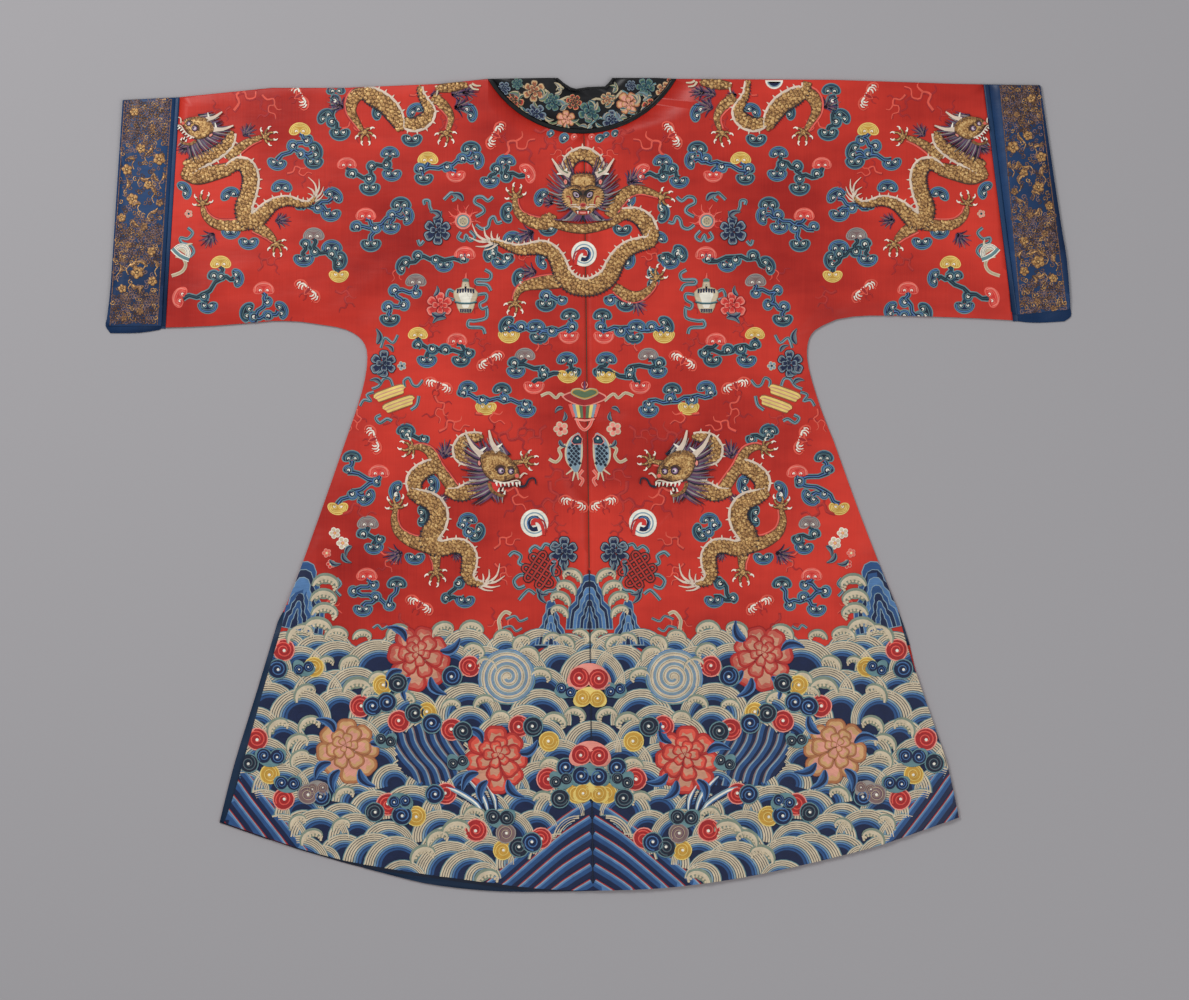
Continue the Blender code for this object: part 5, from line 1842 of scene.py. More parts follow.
# %% Peonies and curls
BLOOM_SIZE = 24.5
FAMILY_LIFT = 0.3
PAIR_LIFT = 1.3
LEAF_ANGLES = (20, 130, 215, 245, 300)
PEONIES = (
    # x, y on the left half, radius, scheme, turn
    (420, 658, 31, "pink", -20),
    (349, 750, 31, "tan", -35),
    (497, 760, 32, "red", 12),
)
KNOBS = {
    # family: x, y of single curls on the left half
    "red": (
        (284, 650), (361, 706), (399, 721), (452, 729), (519, 726), (257, 739), (284, 799), (388, 804),
        (446, 793), (476, 830), (541, 838), (548, 779), (470, 666),
    ),
    "yellow": ((314, 667), (383, 685), (427, 712), (549, 741), (270, 774), (416, 816), (503, 850),
        (577, 793)),
    "dark": ((398, 683), (415, 713), (463, 731), (533, 726), (249, 763), (403, 804), (375, 812), (519, 847),
        (560, 798)),
    "blue": ((278, 669), (387, 702), (373, 706), (432, 723), (321, 796), (402, 815), (435, 794), (532, 842),
        (566, 767), (452, 676)),
    "plum": ((308, 794), (506, 833)),
}
DOUBLES = (
    # x, y, family, turn, size
    (271, 756, "blue", 180, 1.5), (288, 783, "blue", 180, 1.35), (500, 817, "dark", 180, 1.5),
    (566, 690, "blue", 160, 1.1), (561, 780, "dark", 200, 1.2), (304, 668, "blue", 200, 1.1),
    (386, 740, "dark", 170, 1.1), (458, 762, "dark", 200, 1.1), (400, 801, "blue", 10, 1.2),
    (318, 788, "plum", 10, 1.1),
)
MIDDLE_KNOBS = (
    (589, 678, "red", 2.1), (590, 698, "yellow", 1.6), (590, 755, "red", 2.0), (590, 776, "blue", 1.9),
    (591, 793, "yellow", 1.7),
)


def sew_pair(work, place, family, turn, size, flip, lift):
    """Two round curls side by side on one ground."""
    work.stamp(HEAD_BASE, place, size, turn, flip, lift + 1.1, CLOUD_THREADS[family])
    aside = Matrix.Rotation(math.radians(-turn), 2) @ Vector((4.5 * size, -0.3 * size))
    for way in (-1, 1):
        spot = place + aside * way
        work.stamp(KNOB, spot, size * 0.57, 80 * way, lift=lift + 0.1, threads=CLOUD_THREADS[family])


for side, word in HALVES:
    work = Sewing()
    for rank, (family, spots) in enumerate(KNOBS.items()):
        for index, (x, y) in enumerate(spots):
            size = (1.22 if family == "red" else 1.1) + 0.1 * math.sin(3.1 * index)
            place, lift, threads = on_half(side, x, y), FAMILY_LIFT * rank, CLOUD_THREADS[family]
            work.stamp(KNOB, place, size, 70 * index, lift=lift, threads=threads)
    for x, y, family, turn, size in DOUBLES:
        sew_pair(work, on_half(side, x, y), family, turn * side, size, side > 0, PAIR_LIFT)
    for x, y, family, size in MIDDLE_KNOBS[: 5 if side < 0 else 0]:
        sew_pair(work, at(x, y), family, 0, size, False, PAIR_LIFT)
    work.finish("curls_" + word)
    work = Sewing()
    for x, y, radius, scheme, turn in PEONIES:
        place = on_half(side, x, y)
        for angle in LEAF_ANGLES:
            spot = place + ray(angle) * radius * 0.7
            work.stamp(LEAF, spot, 2.0, angle - 90, side > 0, 0.5, ("azure", "navy", "blue"))
        work.stamp(BLOOM, place, radius / BLOOM_SIZE, turn * side, side > 0, 0.5, BLOOMS[scheme])
    work.finish("peonies_" + word)

# %% [markdown]
# ## Emblems, bats and ribbons
# Between the clouds float small lucky things: a wheel with flames, a covered vase, books,
# a parasol, twin fish, endless knots, plum blossom and bats. Each is a few fills and bands,
# tied with ribbons that curl at their ends. Those of the left half are mirrored on the right.

# %% Emblem helpers
RIBBON = {
    "sea": (("sea", 0.24, 0.1), ("teal", 0.28, 0.1), ("sky", 0.24, 0.0), ("sea", 0.24, 0.0)),
    "sand": (("cream", 0.26, 0.1), ("sand", 0.48, 0.1), ("cream", 0.26, 0.0)),
    "coral": (("rose", 0.26, 0.1), ("coral", 0.48, 0.1), ("rose", 0.26, 0.0)),
}
BAT_LINES = (
    # part, widths at both ends, lift, points on the right half
    (0, 2.6, 1.0, 0.7, (0, 1), (4, 5.5), (10, 7), (15, 3.5), (15.5, -1.5), (12, -3.5)),
    (0, 2.2, 0.8, 0.7, (1, -1), (6, 1.5), (10, -0.5), (10.5, -5)),
    (1, 2.2, 0.7, 0.9, (3.5, 4.0), (8.5, 4.5), (10.5, 1.0), (8.5, -3.0)),
    (1, 1.8, 0.6, 0.9, (7.5, 3.0), (7.0, 0.0), (5.0, -1.5)),
    (1, 1.7, 0.5, 0.9, (11.5, 4.0), (13.2, 1.0), (12.0, -1.5)),
    (2, 1.6, 0.6, 0.7, (1, -3), (3.5, -6), (2.5, -9.5)),
)
FLAME_LINES = (
    # part, widths at both ends, lift, points
    (1, 3.0, 1.0, 0.3, (-12, -9), (-8, -3), (-10, 3), (-4, 5), (-2, 0), (4, 1), (5, 7), (10, 9)),
    (0, 1.9, 0.8, 0.5, (-12, -8), (-8, -2), (-10, 4), (-4, 6), (-2, 1), (4, 2), (5, 8), (10, 10)),
    (0, 1.8, 0.6, 0.4, (-4, 6), (0, 10), (-1, 14)),
    (1, 2.4, 0.8, 0.4, (4, 2), (9, -1), (8, -6), (13, -9)),
    (1, 2.0, 0.8, 0.4, (-10, 4), (-14, 7), (-13, 11)),
)


def draw_bat():
    """A bat seen from above: curled red wings with pale claws, and two pale eyes."""
    work = Sewing()
    for side in (-1, 1):
        strands(work, BAT_LINES, lambda p: (p[0] * side, p[1]), 2)
        work.fill(disc((1.7 * side, 4.6), 0.9, 6), ((1, 0, 0),), 1.5)
    body = ((0, 7), (2.8, 4), (2.2, -2), (0, -5), (-2.2, -2), (-2.8, 4))
    work.fill(body, ((0, 0.8, 0.2), (2, 0, 0)), 0.9)
    return work.motif("bat")


def draw_flame():
    """Tone-on-tone curls of flame, a little lighter than the ground."""
    work = Sewing()
    strands(work, FLAME_LINES)
    return work.motif("flame")


def draw_blossom():
    """A plum blossom of five round petals."""
    work = Sewing()
    for i in range(5):
        work.fill(disc(ray(72 * i + 18) * 3.4, 2.7, 9), ((0, 0.7, 0.15), (1, 0, 0)), 0.9)
    work.fill(disc((0, 0), 1.8, 8), ((2, 0.6, 0.1), (3, 0, 0)), 1.3)
    return work.motif("blossom")


BAT = draw_bat()
FLAME = draw_flame()
BLOSSOM = draw_blossom()
print("bat:", len(BAT.polygons), "faces, flame:", len(FLAME.polygons), "faces")

# %% Places of the emblems
PALE_BLOSSOM = ("white", "cream", "coral", "lemon")
BATS = (
    # x, y on the left half, turn
    (298, 97, 60), (307, 292, 40), (491, 362, -30), (438, 387, 20), (372, 440, 70), (419, 606, 30),
    (497, 136, -60), (573, 505, 20),
)
FLAMES = (
    # x, y on the left half, turn, size
    (520, 150, 10, 1.2), (545, 140, 80, 0.9), (250, 100, 0, 1.2), (330, 195, 60, 0.7), (455, 430, 30, 1.0),
    (512, 440, 0, 1.2), (512, 500, 80, 1.1), (545, 500, 140, 1.2), (508, 545, 20, 0.9), (360, 515, 40, 1.1),
    (385, 562, 100, 0.8), (476, 300, 60, 0.8), (545, 345, 0, 0.7), (300, 330, 20, 0.8), (355, 130, 40, 0.8),
    (560, 470, 200, 1.1), (520, 260, 30, 0.7), (430, 330, 60, 0.7), (490, 420, 60, 1.0),
    (532, 430, 200, 0.9), (436, 410, 120, 0.9), (398, 425, 40, 0.9), (352, 420, 150, 0.8),
    (556, 530, 60, 0.8), (500, 575, 100, 0.8), (470, 500, 30, 0.8), (330, 610, 60, 0.8),
    (395, 625, 150, 0.8), (500, 620, 200, 0.9), (440, 640, 30, 0.7), (268, 108, 100, 0.9),
    (220, 110, 200, 0.7), (300, 175, 40, 0.8), (270, 265, 10, 0.8), (395, 270, 150, 0.8),
    (345, 300, 80, 0.8), (420, 100, 60, 0.7), (450, 125, 10, 0.7), (560, 150, 200, 0.7),
    (480, 345, 40, 0.7),
)
RIBBONS = (
    # kind, width, points on the left half
    ("sea", 3.6, ((476, 217), (484, 212), (482, 207), (475, 203), (476, 198), (482, 197), (488, 201),
        (493, 197))),
    ("sea", 3.6, ((476, 225), (482, 229), (488, 227), (490, 220), (494, 217), (497, 223), (502, 222))),
    ("sea", 3.2, ((461, 232), (458, 238), (464, 241), (466, 235), (470, 241), (475, 237), (470, 231))),
    ("sea", 3.4, ((444, 200), (448, 196), (452, 193), (456, 198), (452, 201))),
    ("sea", 3.4, ((425, 205), (424, 201), (429, 201), (430, 207), (433, 213))),
    ("sea", 3.4, ((418, 240), (420, 245), (424, 241))),
    ("sea", 3.2, ((477, 295), (486, 294), (486, 300), (480, 304), (482, 309), (488, 307))),
    ("sea", 3.6, ((487, 309), (486, 318), (475, 321), (469, 321), (469, 327), (482, 328), (485, 334))),
    ("sea", 3.6, ((485, 270), (491, 274), (489, 280), (477, 280), (477, 284), (487, 285), (491, 291))),
    ("sea", 3.2, ((454, 300), (447, 297), (449, 290), (454, 292))),
    ("sea", 3.0, ((381, 348), (385, 338), (393, 343), (398, 335))),
    ("sea", 3.0, ((360, 406), (364, 400), (371, 401), (367, 395), (374, 392))),
    ("sea", 3.0, ((405, 387), (404, 381), (409, 378), (413, 385), (418, 386), (423, 380))),
    ("sea", 3.4, ((411, 410), (417, 405), (419, 396))),
    ("sea", 3.4, ((381, 415), (376, 418), (380, 423), (387, 419), (392, 421))),
    ("sea", 3.0, ((372, 389), (379, 386), (384, 379), (390, 379), (393, 386))),
    ("sand", 3.0, ((570, 401), (561, 394), (556, 398), (549, 393), (541, 396))),
    ("sand", 3.2, ((566, 445), (559, 449), (561, 456), (556, 462), (549, 459))),
    ("coral", 3.0, ((583, 470), (579, 476), (583, 480), (580, 486))),
    ("sea", 3.6, ((535, 556), (530, 551), (535, 546), (541, 549), (545, 544), (551, 546))),
    ("sea", 3.8, ((527, 566), (519, 563), (521, 556), (514, 552), (509, 556))),
    ("sea", 3.8, ((556, 576), (559, 583), (555, 590), (548, 591), (541, 595))),
    ("sea", 3.6, ((535, 594), (529, 590), (524, 594), (519, 600))),
    ("sea", 3.8, ((528, 575), (520, 575), (514, 581), (518, 588), (525, 586))),
    ("sea", 3.2, ((188, 228), (193, 233), (188, 239), (181, 238), (182, 243), (191, 246), (194, 252),
        (190, 257))),
    ("sand", 3.4, ((176, 256), (183, 258), (186, 265), (182, 272), (172, 276))),
    ("sea", 3.0, ((337, 578), (341, 584), (336, 590), (341, 596))),
    ("sea", 2.6, ((373, 628), (378, 625), (382, 629), (388, 626))),
    ("sand", 3.6, ((496, 640), (500, 630), (499, 620), (505, 612), (511, 614))),
    ("sea", 2.6, ((506, 619), (515, 616), (520, 621), (528, 618))),
    ("sea", 2.4, ((503, 628), (511, 626), (516, 631), (522, 628))),
)
LEAVES = (
    # x, y on the left half, turn, size
    (433, 219, 60, 1.0), (441, 218, -50, 1.1), (463, 201, -50, 1.2), (432, 313, 100, 1.2),
    (446, 318, -100, 1.2), (434, 296, 30, 0.9), (377, 374, 60, 0.9), (393, 352, -40, 0.9),
    (564, 562, 160, 1.2), (556, 564, 200, 1.1), (377, 344, 10, 1.3), (563, 408, -110, 0.8),
    (381, 384, -60, 1.0), (541, 590, 170, 1.2), (537, 588, 130, 1.1), (552, 547, 80, 0.9),
    (343, 553, 150, 1.1), (330, 560, 120, 1.0), (352, 546, 220, 1.0), (560, 440, 150, 0.8),
    (563, 421, 20, 0.8),
)
EMBLEM_BLOOMS = (
    # x, y on the left half, size, scheme
    (438, 231, 0.52, "blue"), (440, 306, 0.5, "coral"), (384, 364, 0.5, "blue"), (564, 552, 0.56, "blue"),
)
BLOSSOMS = (
    # x, y on the left half, size, threads
    (335, 533, 1.0, PALE_BLOSSOM), (343, 543, 1.1, PALE_BLOSSOM),
    (561, 429, 1.3, ("cream", "rose", "scarlet", "crimson")),
    (402, 366, 0.8, ("cream", "sky", "teal", "navy")),
    (189, 214, 0.7, ("cream", "rose", "teal", "navy")),
    (327, 553, 0.8, ("rose", "coral", "lemon", "white")),
    (331, 564, 0.8, ("rose", "scarlet", "lemon", "white")),
)
print("ribbons:", len(RIBBONS), "bats:", len(BATS), "flames:", len(FLAMES))

# %% Emblems
def sew_wheel(work, side):
    """A wheel with flames round its top."""
    middle = on_half(side, 463.3, 221.3)
    for i in range(13):
        out = ray(-25 + 19 * i)
        curl = leftward(out) * (1.6 if i % 2 else -1.6)
        points = (middle + out * 8, middle + out * 11.5 + curl, middle + out * (15.5 + 2 * (i % 2)))
        strand(work, points, "coral" if i % 2 else "scarlet", 2.4, 0.5, 0.8)
    rings = (
        ("rose", 0.9, 0.2), ("coral", 0.8, 0.0), ("sea", 1.4, 0.1), ("cream", 1.0, 0.1), ("sand", 0, 0)
    )
    work.fill(disc(middle, 8.4, 18), rings, 1.2)
    for i in range(7):
        work.fill(disc(middle + ray(51 * i) * (2.6 if i else 0), 0.75, 6), (("slate", 0, 0),), 1.9)


def sew_canopy(work, side):
    """A round canopy by the cuff: a cream cap over a green skirt, each with a corded edge."""
    middle = on_half(side, 184, 250)
    tilt = Matrix.Rotation(math.radians(34 * side), 2)
    skirt = around(middle, ((-10, -5), (-5, -6.3), (0, -6.8), (5, -6.3), (10, -5)), tilt)
    work.band(skirt, (("white", 0.2, 0.2), ("sea", 0.6, 0.0), ("white", 0.2, 0.0)), 5.5, 1.0, 0.3)
    work.fill(around(middle, arc((0, -3.5), 8.6, 4, 176, 12), tilt), (("cream", 0, 0),), 1.2)
    for reach in (5.4, 8.0):
        edge = around(middle, arc((0, -3.5), reach, 4, 176, 12), tilt)
        work.band(edge, (("white", 0.4, 0.1), ("ink", 0.2, 0.0), ("white", 0.4, 0.0)), 2.2, 1.7, 0.2)
    strand(work, around(middle, ((0, 5), (1.5, 8), (4, 10)), tilt), "cream", 3.0, 0.8, 1.4)


VASE_HALF = (
    (0, 15.5), (3.4, 15.2), (4.2, 10), (9, 8.2), (12.4, 4.6), (12, 0), (10, -5), (8.4, -11), (5.6, -16),
    (0, -16.4),
)


def sew_vase(work, side):
    """A covered vase with blue petals at its shoulder and foot."""
    middle = on_half(side, 465.7, 297)
    rings = (("sand", 0.8, 0.2), ("cream", 2.2, 0.25), ("cream", 2.0, 0.15), ("white", 0, 0))
    work.fill(around(middle, both_sides(VASE_HALF)), rings, 1.2)
    belt = around(middle, ((-11, -5), (-4, -6.6), (4, -6.6), (11, -5)))
    work.band(belt, (("teal", 0.5, 0.1), ("sea", 0.5, 0)), 2.0, 1.9, 0.3)
    for i in range(7):
        x = -7.5 + 2.5 * i
        petal = around(middle, ((x, 8.6 - abs(x) * 0.12), (x * 1.08, 4.4 - abs(x) * 0.1)))
        strand(work, petal, "navy", 2.2, 1.4, 2.0, 1)
        strand(work, around(middle, ((x * 0.7, -12), (x * 0.62, -15.6))), "navy", 1.5, 1.0, 1.8, 1)
    lid = around(middle, both_sides(((0, 19), (3.4, 17.4), (3.0, 15.2), (0, 14.8))))
    work.fill(lid, (("sea", 0.7, 0.1), ("green", 0, 0)), 1.4)
    strand(work, around(middle, ((0, 18), (0.6, 24))), "coral", 2.4, 0.6, 1.3)


def sew_books(work, side):
    """Rolled books with gold pages."""
    pages = (
        ("rust", 0.1, 0.0), ("lemon", 0.2, 0.1), ("dust", 0.1, 0.0), ("lemon", 0.2, 0.1),
        ("dust", 0.1, 0.0), ("lemon", 0.2, 0.0), ("rust", 0.1, 0.0),
    )
    across = ((-14, 6), (-12, 4.5), (0, 0), (12, -4), (14, -4))
    for x, y, lift in ((390, 393, 0.6), (399, 404, 0.9)):
        path = [on_half(side, x + dx, y + dy) for dx, dy in across]
        work.band(smooth(path, 2), pages, [6.0, 9.5, 11.0, 11.5, 11.5, 11.5, 11.0, 9.5, 6.5], lift, 0.6)


PARASOL_RIM = ((-23, 3), (-12, -4), (0, -7), (12, -4), (23, 2), (15, 8), (0, 10), (-15, 8))
PARASOL_CAP = ((-14, 6), (-7, 2), (0, 0), (7, 2), (14, 6), (12, 11), (5, 12), (0, 10), (-5, 12), (-12, 11))
PARASOL_SKIRT = ("coral", "sky", "lemon", "green", "crimson", "green", "lemon", "sky", "coral")
PARASOL_LOOP = ((-8, -19), (-5, -26), (0, -30), (5, -26), (8, -19))
PARASOL_KNOB = (
    # thread, widths at both ends, lift, points from the middle
    ("plum", 3.0, 0.8, 1.6, (0, 10), (0, 19)),
    ("rose", 1.2, 0.5, 1.4, (-1, 12), (-3, 15), (-1.5, 18)),
    ("rose", 1.2, 0.5, 1.4, (1, 12), (3, 15), (1.5, 18)),
)


def sew_parasol(work):
    """The parasol below the pearl, with its striped skirt."""
    middle = at(584.6, 400)
    work.fill(blob(around(middle, PARASOL_RIM)), (("rose", 1.2, 0.2), ("crimson", 0, 0)), 1.0)
    cap_rings = (("sand", 0.8, 0.2), ("ochre", 0.9, 0.1), ("green", 0, 0))
    work.fill(blob(around(middle, PARASOL_CAP)), cap_rings, 1.6)
    for index, thread in enumerate(PARASOL_SKIRT):
        x = -14.6 + 3.6 * index
        gore = around(middle, ((x, -5.5 + abs(x) * 0.1), (x * 0.72, -18.5 + abs(x) * 0.1)))
        strand(work, gore, thread, 3.6, 2.8, 1.1)
    strand(work, around(middle, ((-10, -19), (0, -20.5), (10, -19))), "rose", 2.0, 2.0, 1.4)
    work.band(smooth(around(middle, PARASOL_LOOP), 4), RIBBON["coral"], 3.0, 1.0, 0.3)
    strands(work, PARASOL_KNOB, lambda p: middle + Vector(p))


FISH_BODY = (
    # x, y and width down the left fish's back
    (578.5, 433, 2), (577, 438, 11), (575, 444, 16), (573.8, 451, 18), (574, 459, 17), (575.5, 466, 11.5),
    (576, 472, 4),
)
FISH_HEAD = ((578.5, 433.5), (583, 438.5), (582, 444.5), (573.5, 445), (570.5, 441.5), (573.5, 436))


def sew_fish(work, side):
    """One of the twin fish, its head up, with a net of dark scales."""
    places, widths = trail([(*on_half(side, x, y), width) for x, y, width in FISH_BODY], 2.6)
    work.band(places, (("cream", 0.1, 0.1), ("sky", 0.8, 0.0), ("cream", 0.1, 0.0)), widths, 1.0, 0.9)
    for k in range(5, len(places) - 3):
        across = leftward(way_at(places, k))
        reach = int(widths[k] * 0.37 / 2.3)
        for j in range(-reach, reach + 1):
            if (j + k) % 2 == 0:
                work.fill(disc(places[k] + across * 2.3 * j, 2.1, 4), (("ink", 0, 0),), 2.0)
    head = [on_half(side, x, y) for x, y in FISH_HEAD]
    work.fill(head, (("rose", 0.7, 0.1), ("navy", 1.2, 0.1), ("teal", 0, 0)), 1.7)
    work.fill(disc(on_half(side, 577.5, 438.5), 1.4, 7), (("white", 0, 0),), 2.2)
    for x, y in ((566, 474.5), (578.5, 480), (572.5, 481)):
        strand(work, (on_half(side, 576, 467), on_half(side, x, y)), "cream", 2.8, 1.0, 1.3)


def sew_knot(work, side):
    """An endless knot: two long loops of cord woven through two others."""
    middle = on_half(side, 541, 570)
    cord = (("black", 0.27, 0.0), ("brick", 0.23, 0.3), ("brick", 0.23, 0.0), ("black", 0.27, 0.0))
    for quarter in (0, 1):
        tilt = Matrix.Rotation(math.radians(90 * quarter + 33 * side), 2)
        for offset in (-6.6, 6.6):
            ends = arc((13.5, offset), 3.5, 90, -90, 4) + arc((-13.5, offset), 3.5, 270, 90, 4)
            work.band(around(middle, ends + ends[:2], tilt), cord, 3.9, 0.9 + 0.25 * quarter, 0.2)


PEARL_LINES = (
    # thread, widths at both ends as shares of the radius, lift, points as shares of the radius
    (
        "navy", 0.12, 0.34, 1.6, (0.5, 0.05), (0.2, 0.42), (-0.28, 0.36), (-0.42, -0.06), (-0.16, -0.44),
        (0.22, -0.4),
    ),
    ("azure", 0.08, 0.1, 1.9, (0.3, 0.3), (-0.1, 0.44), (-0.5, 0.1), (-0.4, -0.4)),
    (
        "scarlet", 0.34, 0.2, 1.9, (-0.08, -0.16), (-0.08, 0.12), (0.2, 0.2), (0.48, -0.04), (0.62, -0.44),
        (0.66, -0.86),
    ),
    ("crimson", 0.1, 0.12, 1.7, (0.28, 0.34), (0.66, 0.12), (0.82, -0.3), (0.8, -0.62)),
)


def sew_pearl(work, place, radius, spin):
    """A pearl: a cream ring that a dark blue and a red comma wind out of."""
    rings = (("white", radius * 0.2, 0.2), ("sky", radius * 0.1, 0.1), ("white", 0, 0))
    work.fill(disc(place, radius, 26), rings, 1.0)
    for thread, start, end, lift, *points in PEARL_LINES:
        points = [place + Vector((x * spin, y)) * radius for x, y in points]
        strand(work, points, thread, radius * start, radius * end, lift)


# %% Sew the emblems
for side, word in HALVES:
    work = Sewing()
    flip = side > 0
    for kind, width, points in RIBBONS:
        work.band(smooth([on_half(side, *p) for p in points], 4), RIBBON[kind], width, 0.6, 0.3)
    for x, y, turn, size in LEAVES:
        work.stamp(LEAF, on_half(side, x, y), size, turn * side, flip, threads=("sea", "navy", "slate"))
    for x, y, size, scheme in EMBLEM_BLOOMS:
        work.stamp(SMALL_BLOOM, on_half(side, x, y), size, 40 * side, flip, 0.0, BLOOMS[scheme])
    for x, y, size, threads in BLOSSOMS:
        work.stamp(BLOSSOM, on_half(side, x, y), size, 20, flip, 0.1, threads)
    sew_canopy(work, side)
    sew_wheel(work, side)
    sew_vase(work, side)
    sew_books(work, side)
    sew_fish(work, side)
    sew_knot(work, side)
    sew_pearl(work, on_half(side, 534.5, 523), 14, -side)
    if side < 0:
        sew_parasol(work)
        sew_pearl(work, at(584, 254), 12.8, -1)
    work.finish("emblems_" + word)
    work = Sewing()
    for index, (x, y, turn, size) in enumerate(FLAMES):
        threads = ("brick", "crimson") if index % 2 else ("flame", "crimson")
        work.stamp(FLAME, on_half(side, x, y), size * 1.1, turn * side, flip, threads=threads)
    for x, y, turn in BATS:
        work.stamp(BAT, on_half(side, x, y), 0.95, turn * side, flip, threads=("flame", "white", "crimson"))
    work.finish("bats_and_flames_" + word)

# %% [markdown]
# ## Cuffs and collar
# On the real cuffs the blue silk is nearly hidden by fine gold thread, laid in tiny coils,
# with blossoms between patches of open silk. The coils are one motif, turned and tinted by
# rule. The collar is black silk with a scroll of flowers. Both patterns here are plain
# flower work, laid out afresh.

# %% Gold coils
CUFF_EDGES = {
    # side: outer edge at the top and foot, inner edge at the top and foot, in pixels
    -1: ((122.5, 99), (107.5, 328), (175, 97), (160.5, 327)),
    1: ((1040, 85), (1070, 318), (997, 84), (1018, 318)),
}
DENSE_ROWS = {-1: ((99, 146), (222, 262), (292, 326)), 1: ((84, 127), (211, 254), (280, 313))}
COIL_PITCH = 3.1
COIL_COLUMNS = 16
COIL_SEED = 40
SHAKE = 0.8
DENSE_SHARE = 0.94
OPEN_SHARE = 0.26
COIL_TINTS = ("old_gold", "bronze", "umber", "taupe", "bronze", "taupe", "umber", "gold", "bronze")
DULL_BLOSSOM = ("bronze", "old_gold", "umber", "gold")
BRIGHT_BLOSSOM = ("old_gold", "gold", "umber", "pale_gold")
SPRAY_THREADS = ("old_gold", "bronze", "gold")
CUFF_BLOSSOMS = (
    # share from the outer edge, share down the cuff, size
    (0.25, 0.06, 0.9), (0.62, 0.13, 0.7), (0.42, 0.22, 1.0), (0.78, 0.27, 1.25), (0.18, 0.31, 1.1),
    (0.60, 0.38, 0.9), (0.32, 0.44, 1.2), (0.84, 0.46, 0.8), (0.14, 0.52, 0.9), (0.58, 0.56, 0.8),
    (0.30, 0.64, 0.8), (0.74, 0.67, 0.9), (0.50, 0.76, 1.35), (0.80, 0.80, 1.0), (0.24, 0.83, 0.9),
    (0.60, 0.93, 0.8), (0.30, 0.96, 0.7),
)
CUFF_SPRAYS = (
    # share from the outer edge, share down the cuff, turn, size
    (0.55, 0.24, 40, 1.0), (0.32, 0.27, -70, 0.9), (0.70, 0.33, 160, 1.0), (0.45, 0.35, 100, 1.0),
    (0.20, 0.39, 10, 1.0), (0.74, 0.42, -30, 1.1), (0.48, 0.46, -100, 1.0), (0.68, 0.50, 70, 0.9),
    (0.36, 0.53, 150, 1.0), (0.86, 0.36, 20, 0.8), (0.34, 0.73, 60, 1.1), (0.66, 0.73, -60, 1.1),
    (0.40, 0.81, 120, 1.0), (0.64, 0.82, -140, 0.9), (0.16, 0.76, 20, 0.9), (0.88, 0.74, -20, 0.8),
)


def draw_coil():
    """A tiny coil of gold thread."""
    work = Sewing()
    path = [(0.2, 0.2), (1.2, -0.3), (0.9, -1.5), (-0.7, -1.7), (-1.7, -0.2), (-1.0, 1.5), (1.0, 1.7)]
    strand(work, path, 0, 0.85, 0.75, 0.5, steps=1, crown=0.15)
    return work.motif("coil")


def on_cuff(side, across, down):
    """A place on a cuff, from its outer edge and from its top, both as shares."""
    outer_top, outer_foot, inner_top, inner_foot = (at(*p) for p in CUFF_EDGES[side])
    outer, inner = outer_top.lerp(outer_foot, down), inner_top.lerp(inner_foot, down)
    return outer.lerp(inner, across)


COIL = draw_coil()
print("coil:", len(COIL.polygons), "faces")

# %% Sew the cuffs
for side, word in HALVES:
    chance = random.Random(COIL_SEED + side)
    work = Sewing()
    top, foot = CUFF_EDGES[side][0][1], CUFF_EDGES[side][1][1]
    for row in range(int((foot - top) / COIL_PITCH)):
        for column in range(COIL_COLUMNS):
            across = (column + 0.5 + 0.5 * (row % 2)) / (COIL_COLUMNS + 0.5)
            down = row * COIL_PITCH / (foot - top)
            y = top + down * (foot - top) + 5 * math.sin(across * 9 + row * 0.05)
            dense = any(start < y < end for start, end in DENSE_ROWS[side])
            if chance.random() > (DENSE_SHARE if dense else OPEN_SHARE):
                continue
            place = on_cuff(side, 0.05 + 0.88 * across, down)
            place += Vector((chance.uniform(-SHAKE, SHAKE), chance.uniform(-SHAKE, SHAKE)))
            tint = COIL_TINTS[chance.randrange(len(COIL_TINTS))]
            work.stamp(COIL, place, chance.uniform(0.9, 1.25), chance.uniform(0, 360), threads=(tint,))
    for across, down, size in CUFF_BLOSSOMS:
        threads = DULL_BLOSSOM if size < 0.9 else BRIGHT_BLOSSOM
        work.stamp(BLOSSOM, on_cuff(side, across, down), size * 0.85, 50 * across, threads=threads)
    for across, down, turn, size in CUFF_SPRAYS:
        place = on_cuff(side, across, down)
        work.stamp(LEAF, place, size * 0.8, turn * side, side > 0, -0.4, SPRAY_THREADS)
        stem = (place, place + Vector((3 * side, -4)), place + Vector((1 * side, -9)))
        strand(work, stem, "gold", 1.0, 0.8, 0.4, 2, 0.1)
    for across in (0.05, 0.94):
        line = [on_cuff(side, across, 0.01 + 0.098 * i) for i in range(11)]
        work.band(line, (("bronze", 1.0, 0.0),), 0.9, 0.4, 0.2)
    work.finish("gold_cuff_" + word, cuff_top)

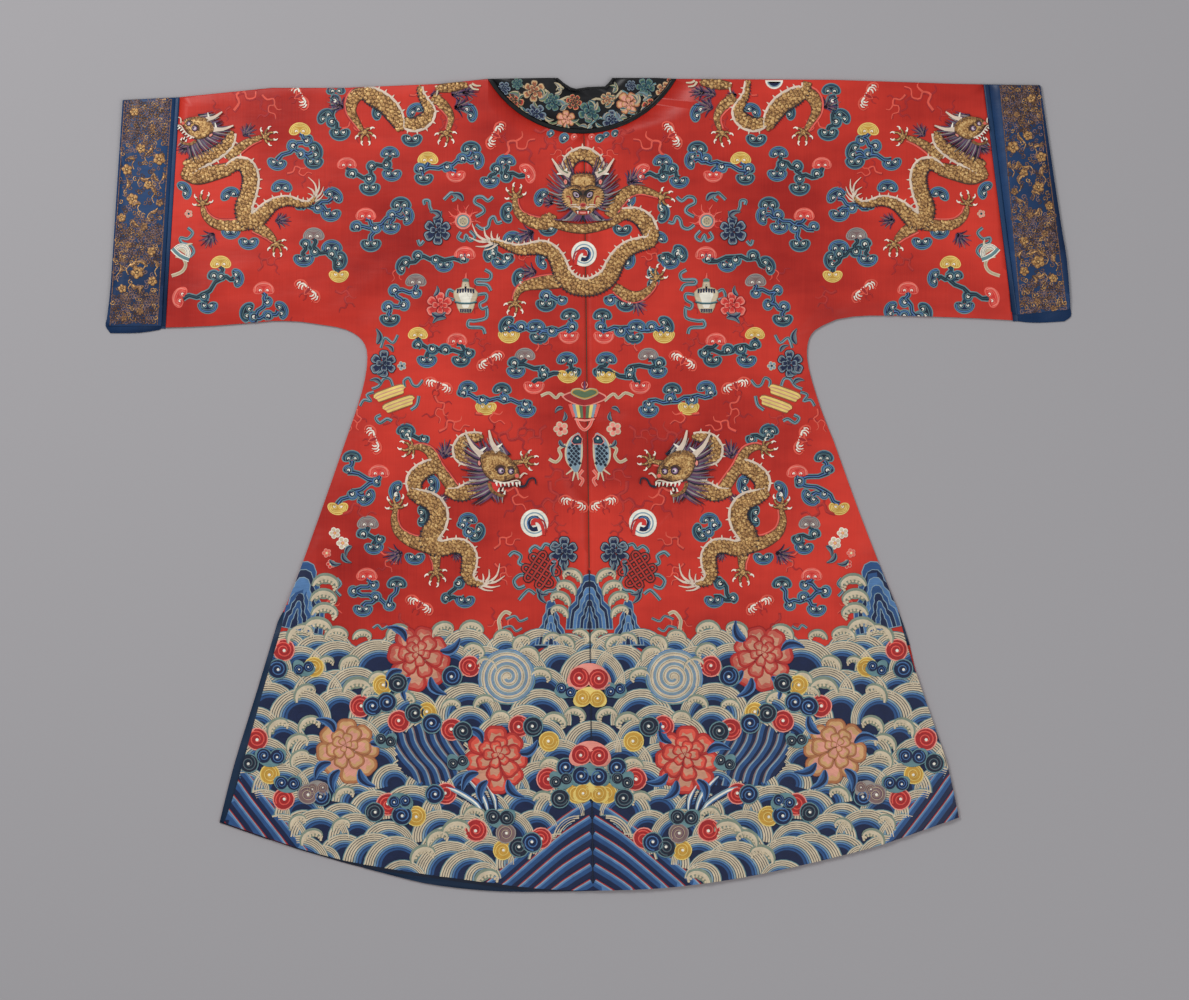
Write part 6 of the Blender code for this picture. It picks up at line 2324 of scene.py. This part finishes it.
# %% Collar
COLLAR_STEMS = (
    # threads, points in pixels
    ("green", ((497, 92), (505, 103), (518, 104), (528, 116), (542, 114), (552, 124), (567, 118),
        (580, 126))),
    ("sea", ((669, 92), (662, 103), (649, 106), (640, 116), (626, 113), (614, 124), (600, 118),
        (588, 127))),
    ("sand", ((520, 84), (532, 92), (545, 90), (556, 101), (570, 97), (582, 106), (596, 99), (610, 102),
        (622, 91))),
    ("sea", ((622, 91), (634, 96), (645, 88), (656, 84))),
)
COLLAR_BLOOMS = (
    # x, y, size, scheme
    (504, 89, 0.26, "blue"), (514, 101, 0.36, "rust"), (534, 91, 0.42, "sand"), (535, 114, 0.4, "blue"),
    (553, 102, 0.34, "green"), (566, 120, 0.34, "tan"), (574, 102, 0.3, "rust"), (590, 112, 0.42, "green"),
    (612, 120, 0.36, "blue"), (608, 100, 0.28, "sand"), (628, 104, 0.42, "tan"), (645, 88, 0.36, "green"),
    (651, 108, 0.34, "rust"), (664, 91, 0.34, "sand"), (517, 84, 0.22, "green"), (631, 86, 0.2, "blue"),
    (672, 82, 0.2, "rust"),
)
COLLAR_LEAVES = (
    # x, y, turn, size, thread
    (520, 98, 60, 0.8, "green"), (518, 110, 150, 0.8, "sea"), (539, 100, -60, 0.8, "green"),
    (541, 120, 170, 0.8, "sand"), (565, 108, 40, 0.8, "sea"), (567, 124, 200, 0.7, "green"),
    (590, 112, -50, 0.8, "sand"), (592, 126, 160, 0.7, "sea"), (610, 105, 30, 0.8, "green"),
    (616, 112, 210, 0.8, "sea"), (633, 105, -40, 0.8, "sand"), (632, 116, 190, 0.8, "green"),
    (648, 99, 50, 0.8, "sea"), (652, 106, 210, 0.7, "green"), (560, 92, 20, 0.7, "sand"),
    (613, 93, -20, 0.7, "green"),
)

work = Sewing()
for thread, points in COLLAR_STEMS:
    work.band(smooth([at(*p) for p in points], 4), (("sand", 0.3, 0.1), (thread, 0.7, 0.0)), 2.2, 0.4, 0.2)
for x, y, turn, size, thread in COLLAR_LEAVES:
    work.stamp(LEAF, at(x, y), size * 1.3, turn, lift=-0.3, threads=("sand", thread, "slate"))
    work.stamp(LEAF, at(x + 4, y - 3), size, turn + 70, lift=-0.3, threads=(thread, "sand", "teal"))
    work.stamp(LEAF, at(x - 5, y + 2), size, turn - 90, lift=-0.3, threads=("sand", "slate", thread))
for x, y, size, scheme in COLLAR_BLOOMS:
    work.stamp(SMALL_BLOOM, at(x, y), size, turn=17 * x, lift=-0.2, threads=BLOOMS[scheme])
work.finish("collar_flowers", collar_top)

# %% [markdown]
# ## Seams and hem
# The shade in the middle seam and in the cuffs' seams is painted as dark lines of thread laid along them.
# Along the hem a dark thread closes the step between the upper layer and the one under it.

# %% Seams
# painted seam shade: dark thread lines laid where shade falls in the seams
SEAM_SHADOW_LINES = (
    # thread, width, lift, points in pixels
    ("umber", 0.9, 0.12, [(seam_x(y), y) for y in range(136, 570, 12)]),
    ("ink", 1.0, 2.0, [(seam_x(y), y) for y in range(570, 894, 12)]),
    ("ink", 1.2, 0.35, [(179.5 - 0.0655 * (y - 99), y) for y in range(99, 328, 12)]),
    ("ink", 1.2, 0.35, [(993.5 + 0.078 * (y - 84), y) for y in range(84, 320, 12)]),
)
work = Sewing()
for thread, width, lift, points in SEAM_SHADOW_LINES:
    work.band([at(*p) for p in points], ((thread, 1.0, 0.0),), width, lift, 0.1)
work.finish("seam_shadow_threads")

# %% Hem thread
HEM = (
    (219, 823), (258, 836.5), (296, 849), (360, 865), (449, 878.5), (538, 889.5), (593, 891), (656, 889.5),
    (728, 881), (800, 866.5), (872, 848.5), (920, 832.5), (959, 818.5),
)
work = Sewing()
work.band(smooth([at(*p) for p in HEM], 8), (("ink", 1.0, 0.0),), 3.4, 0.3, 0.1)
hem_cloth = ("panel_left", "panel_right", "facing_hem", "facing_vent_left", "facing_vent_right")
work.finish("hem_thread", upper_surface(*hem_cloth, lowest=0.0))
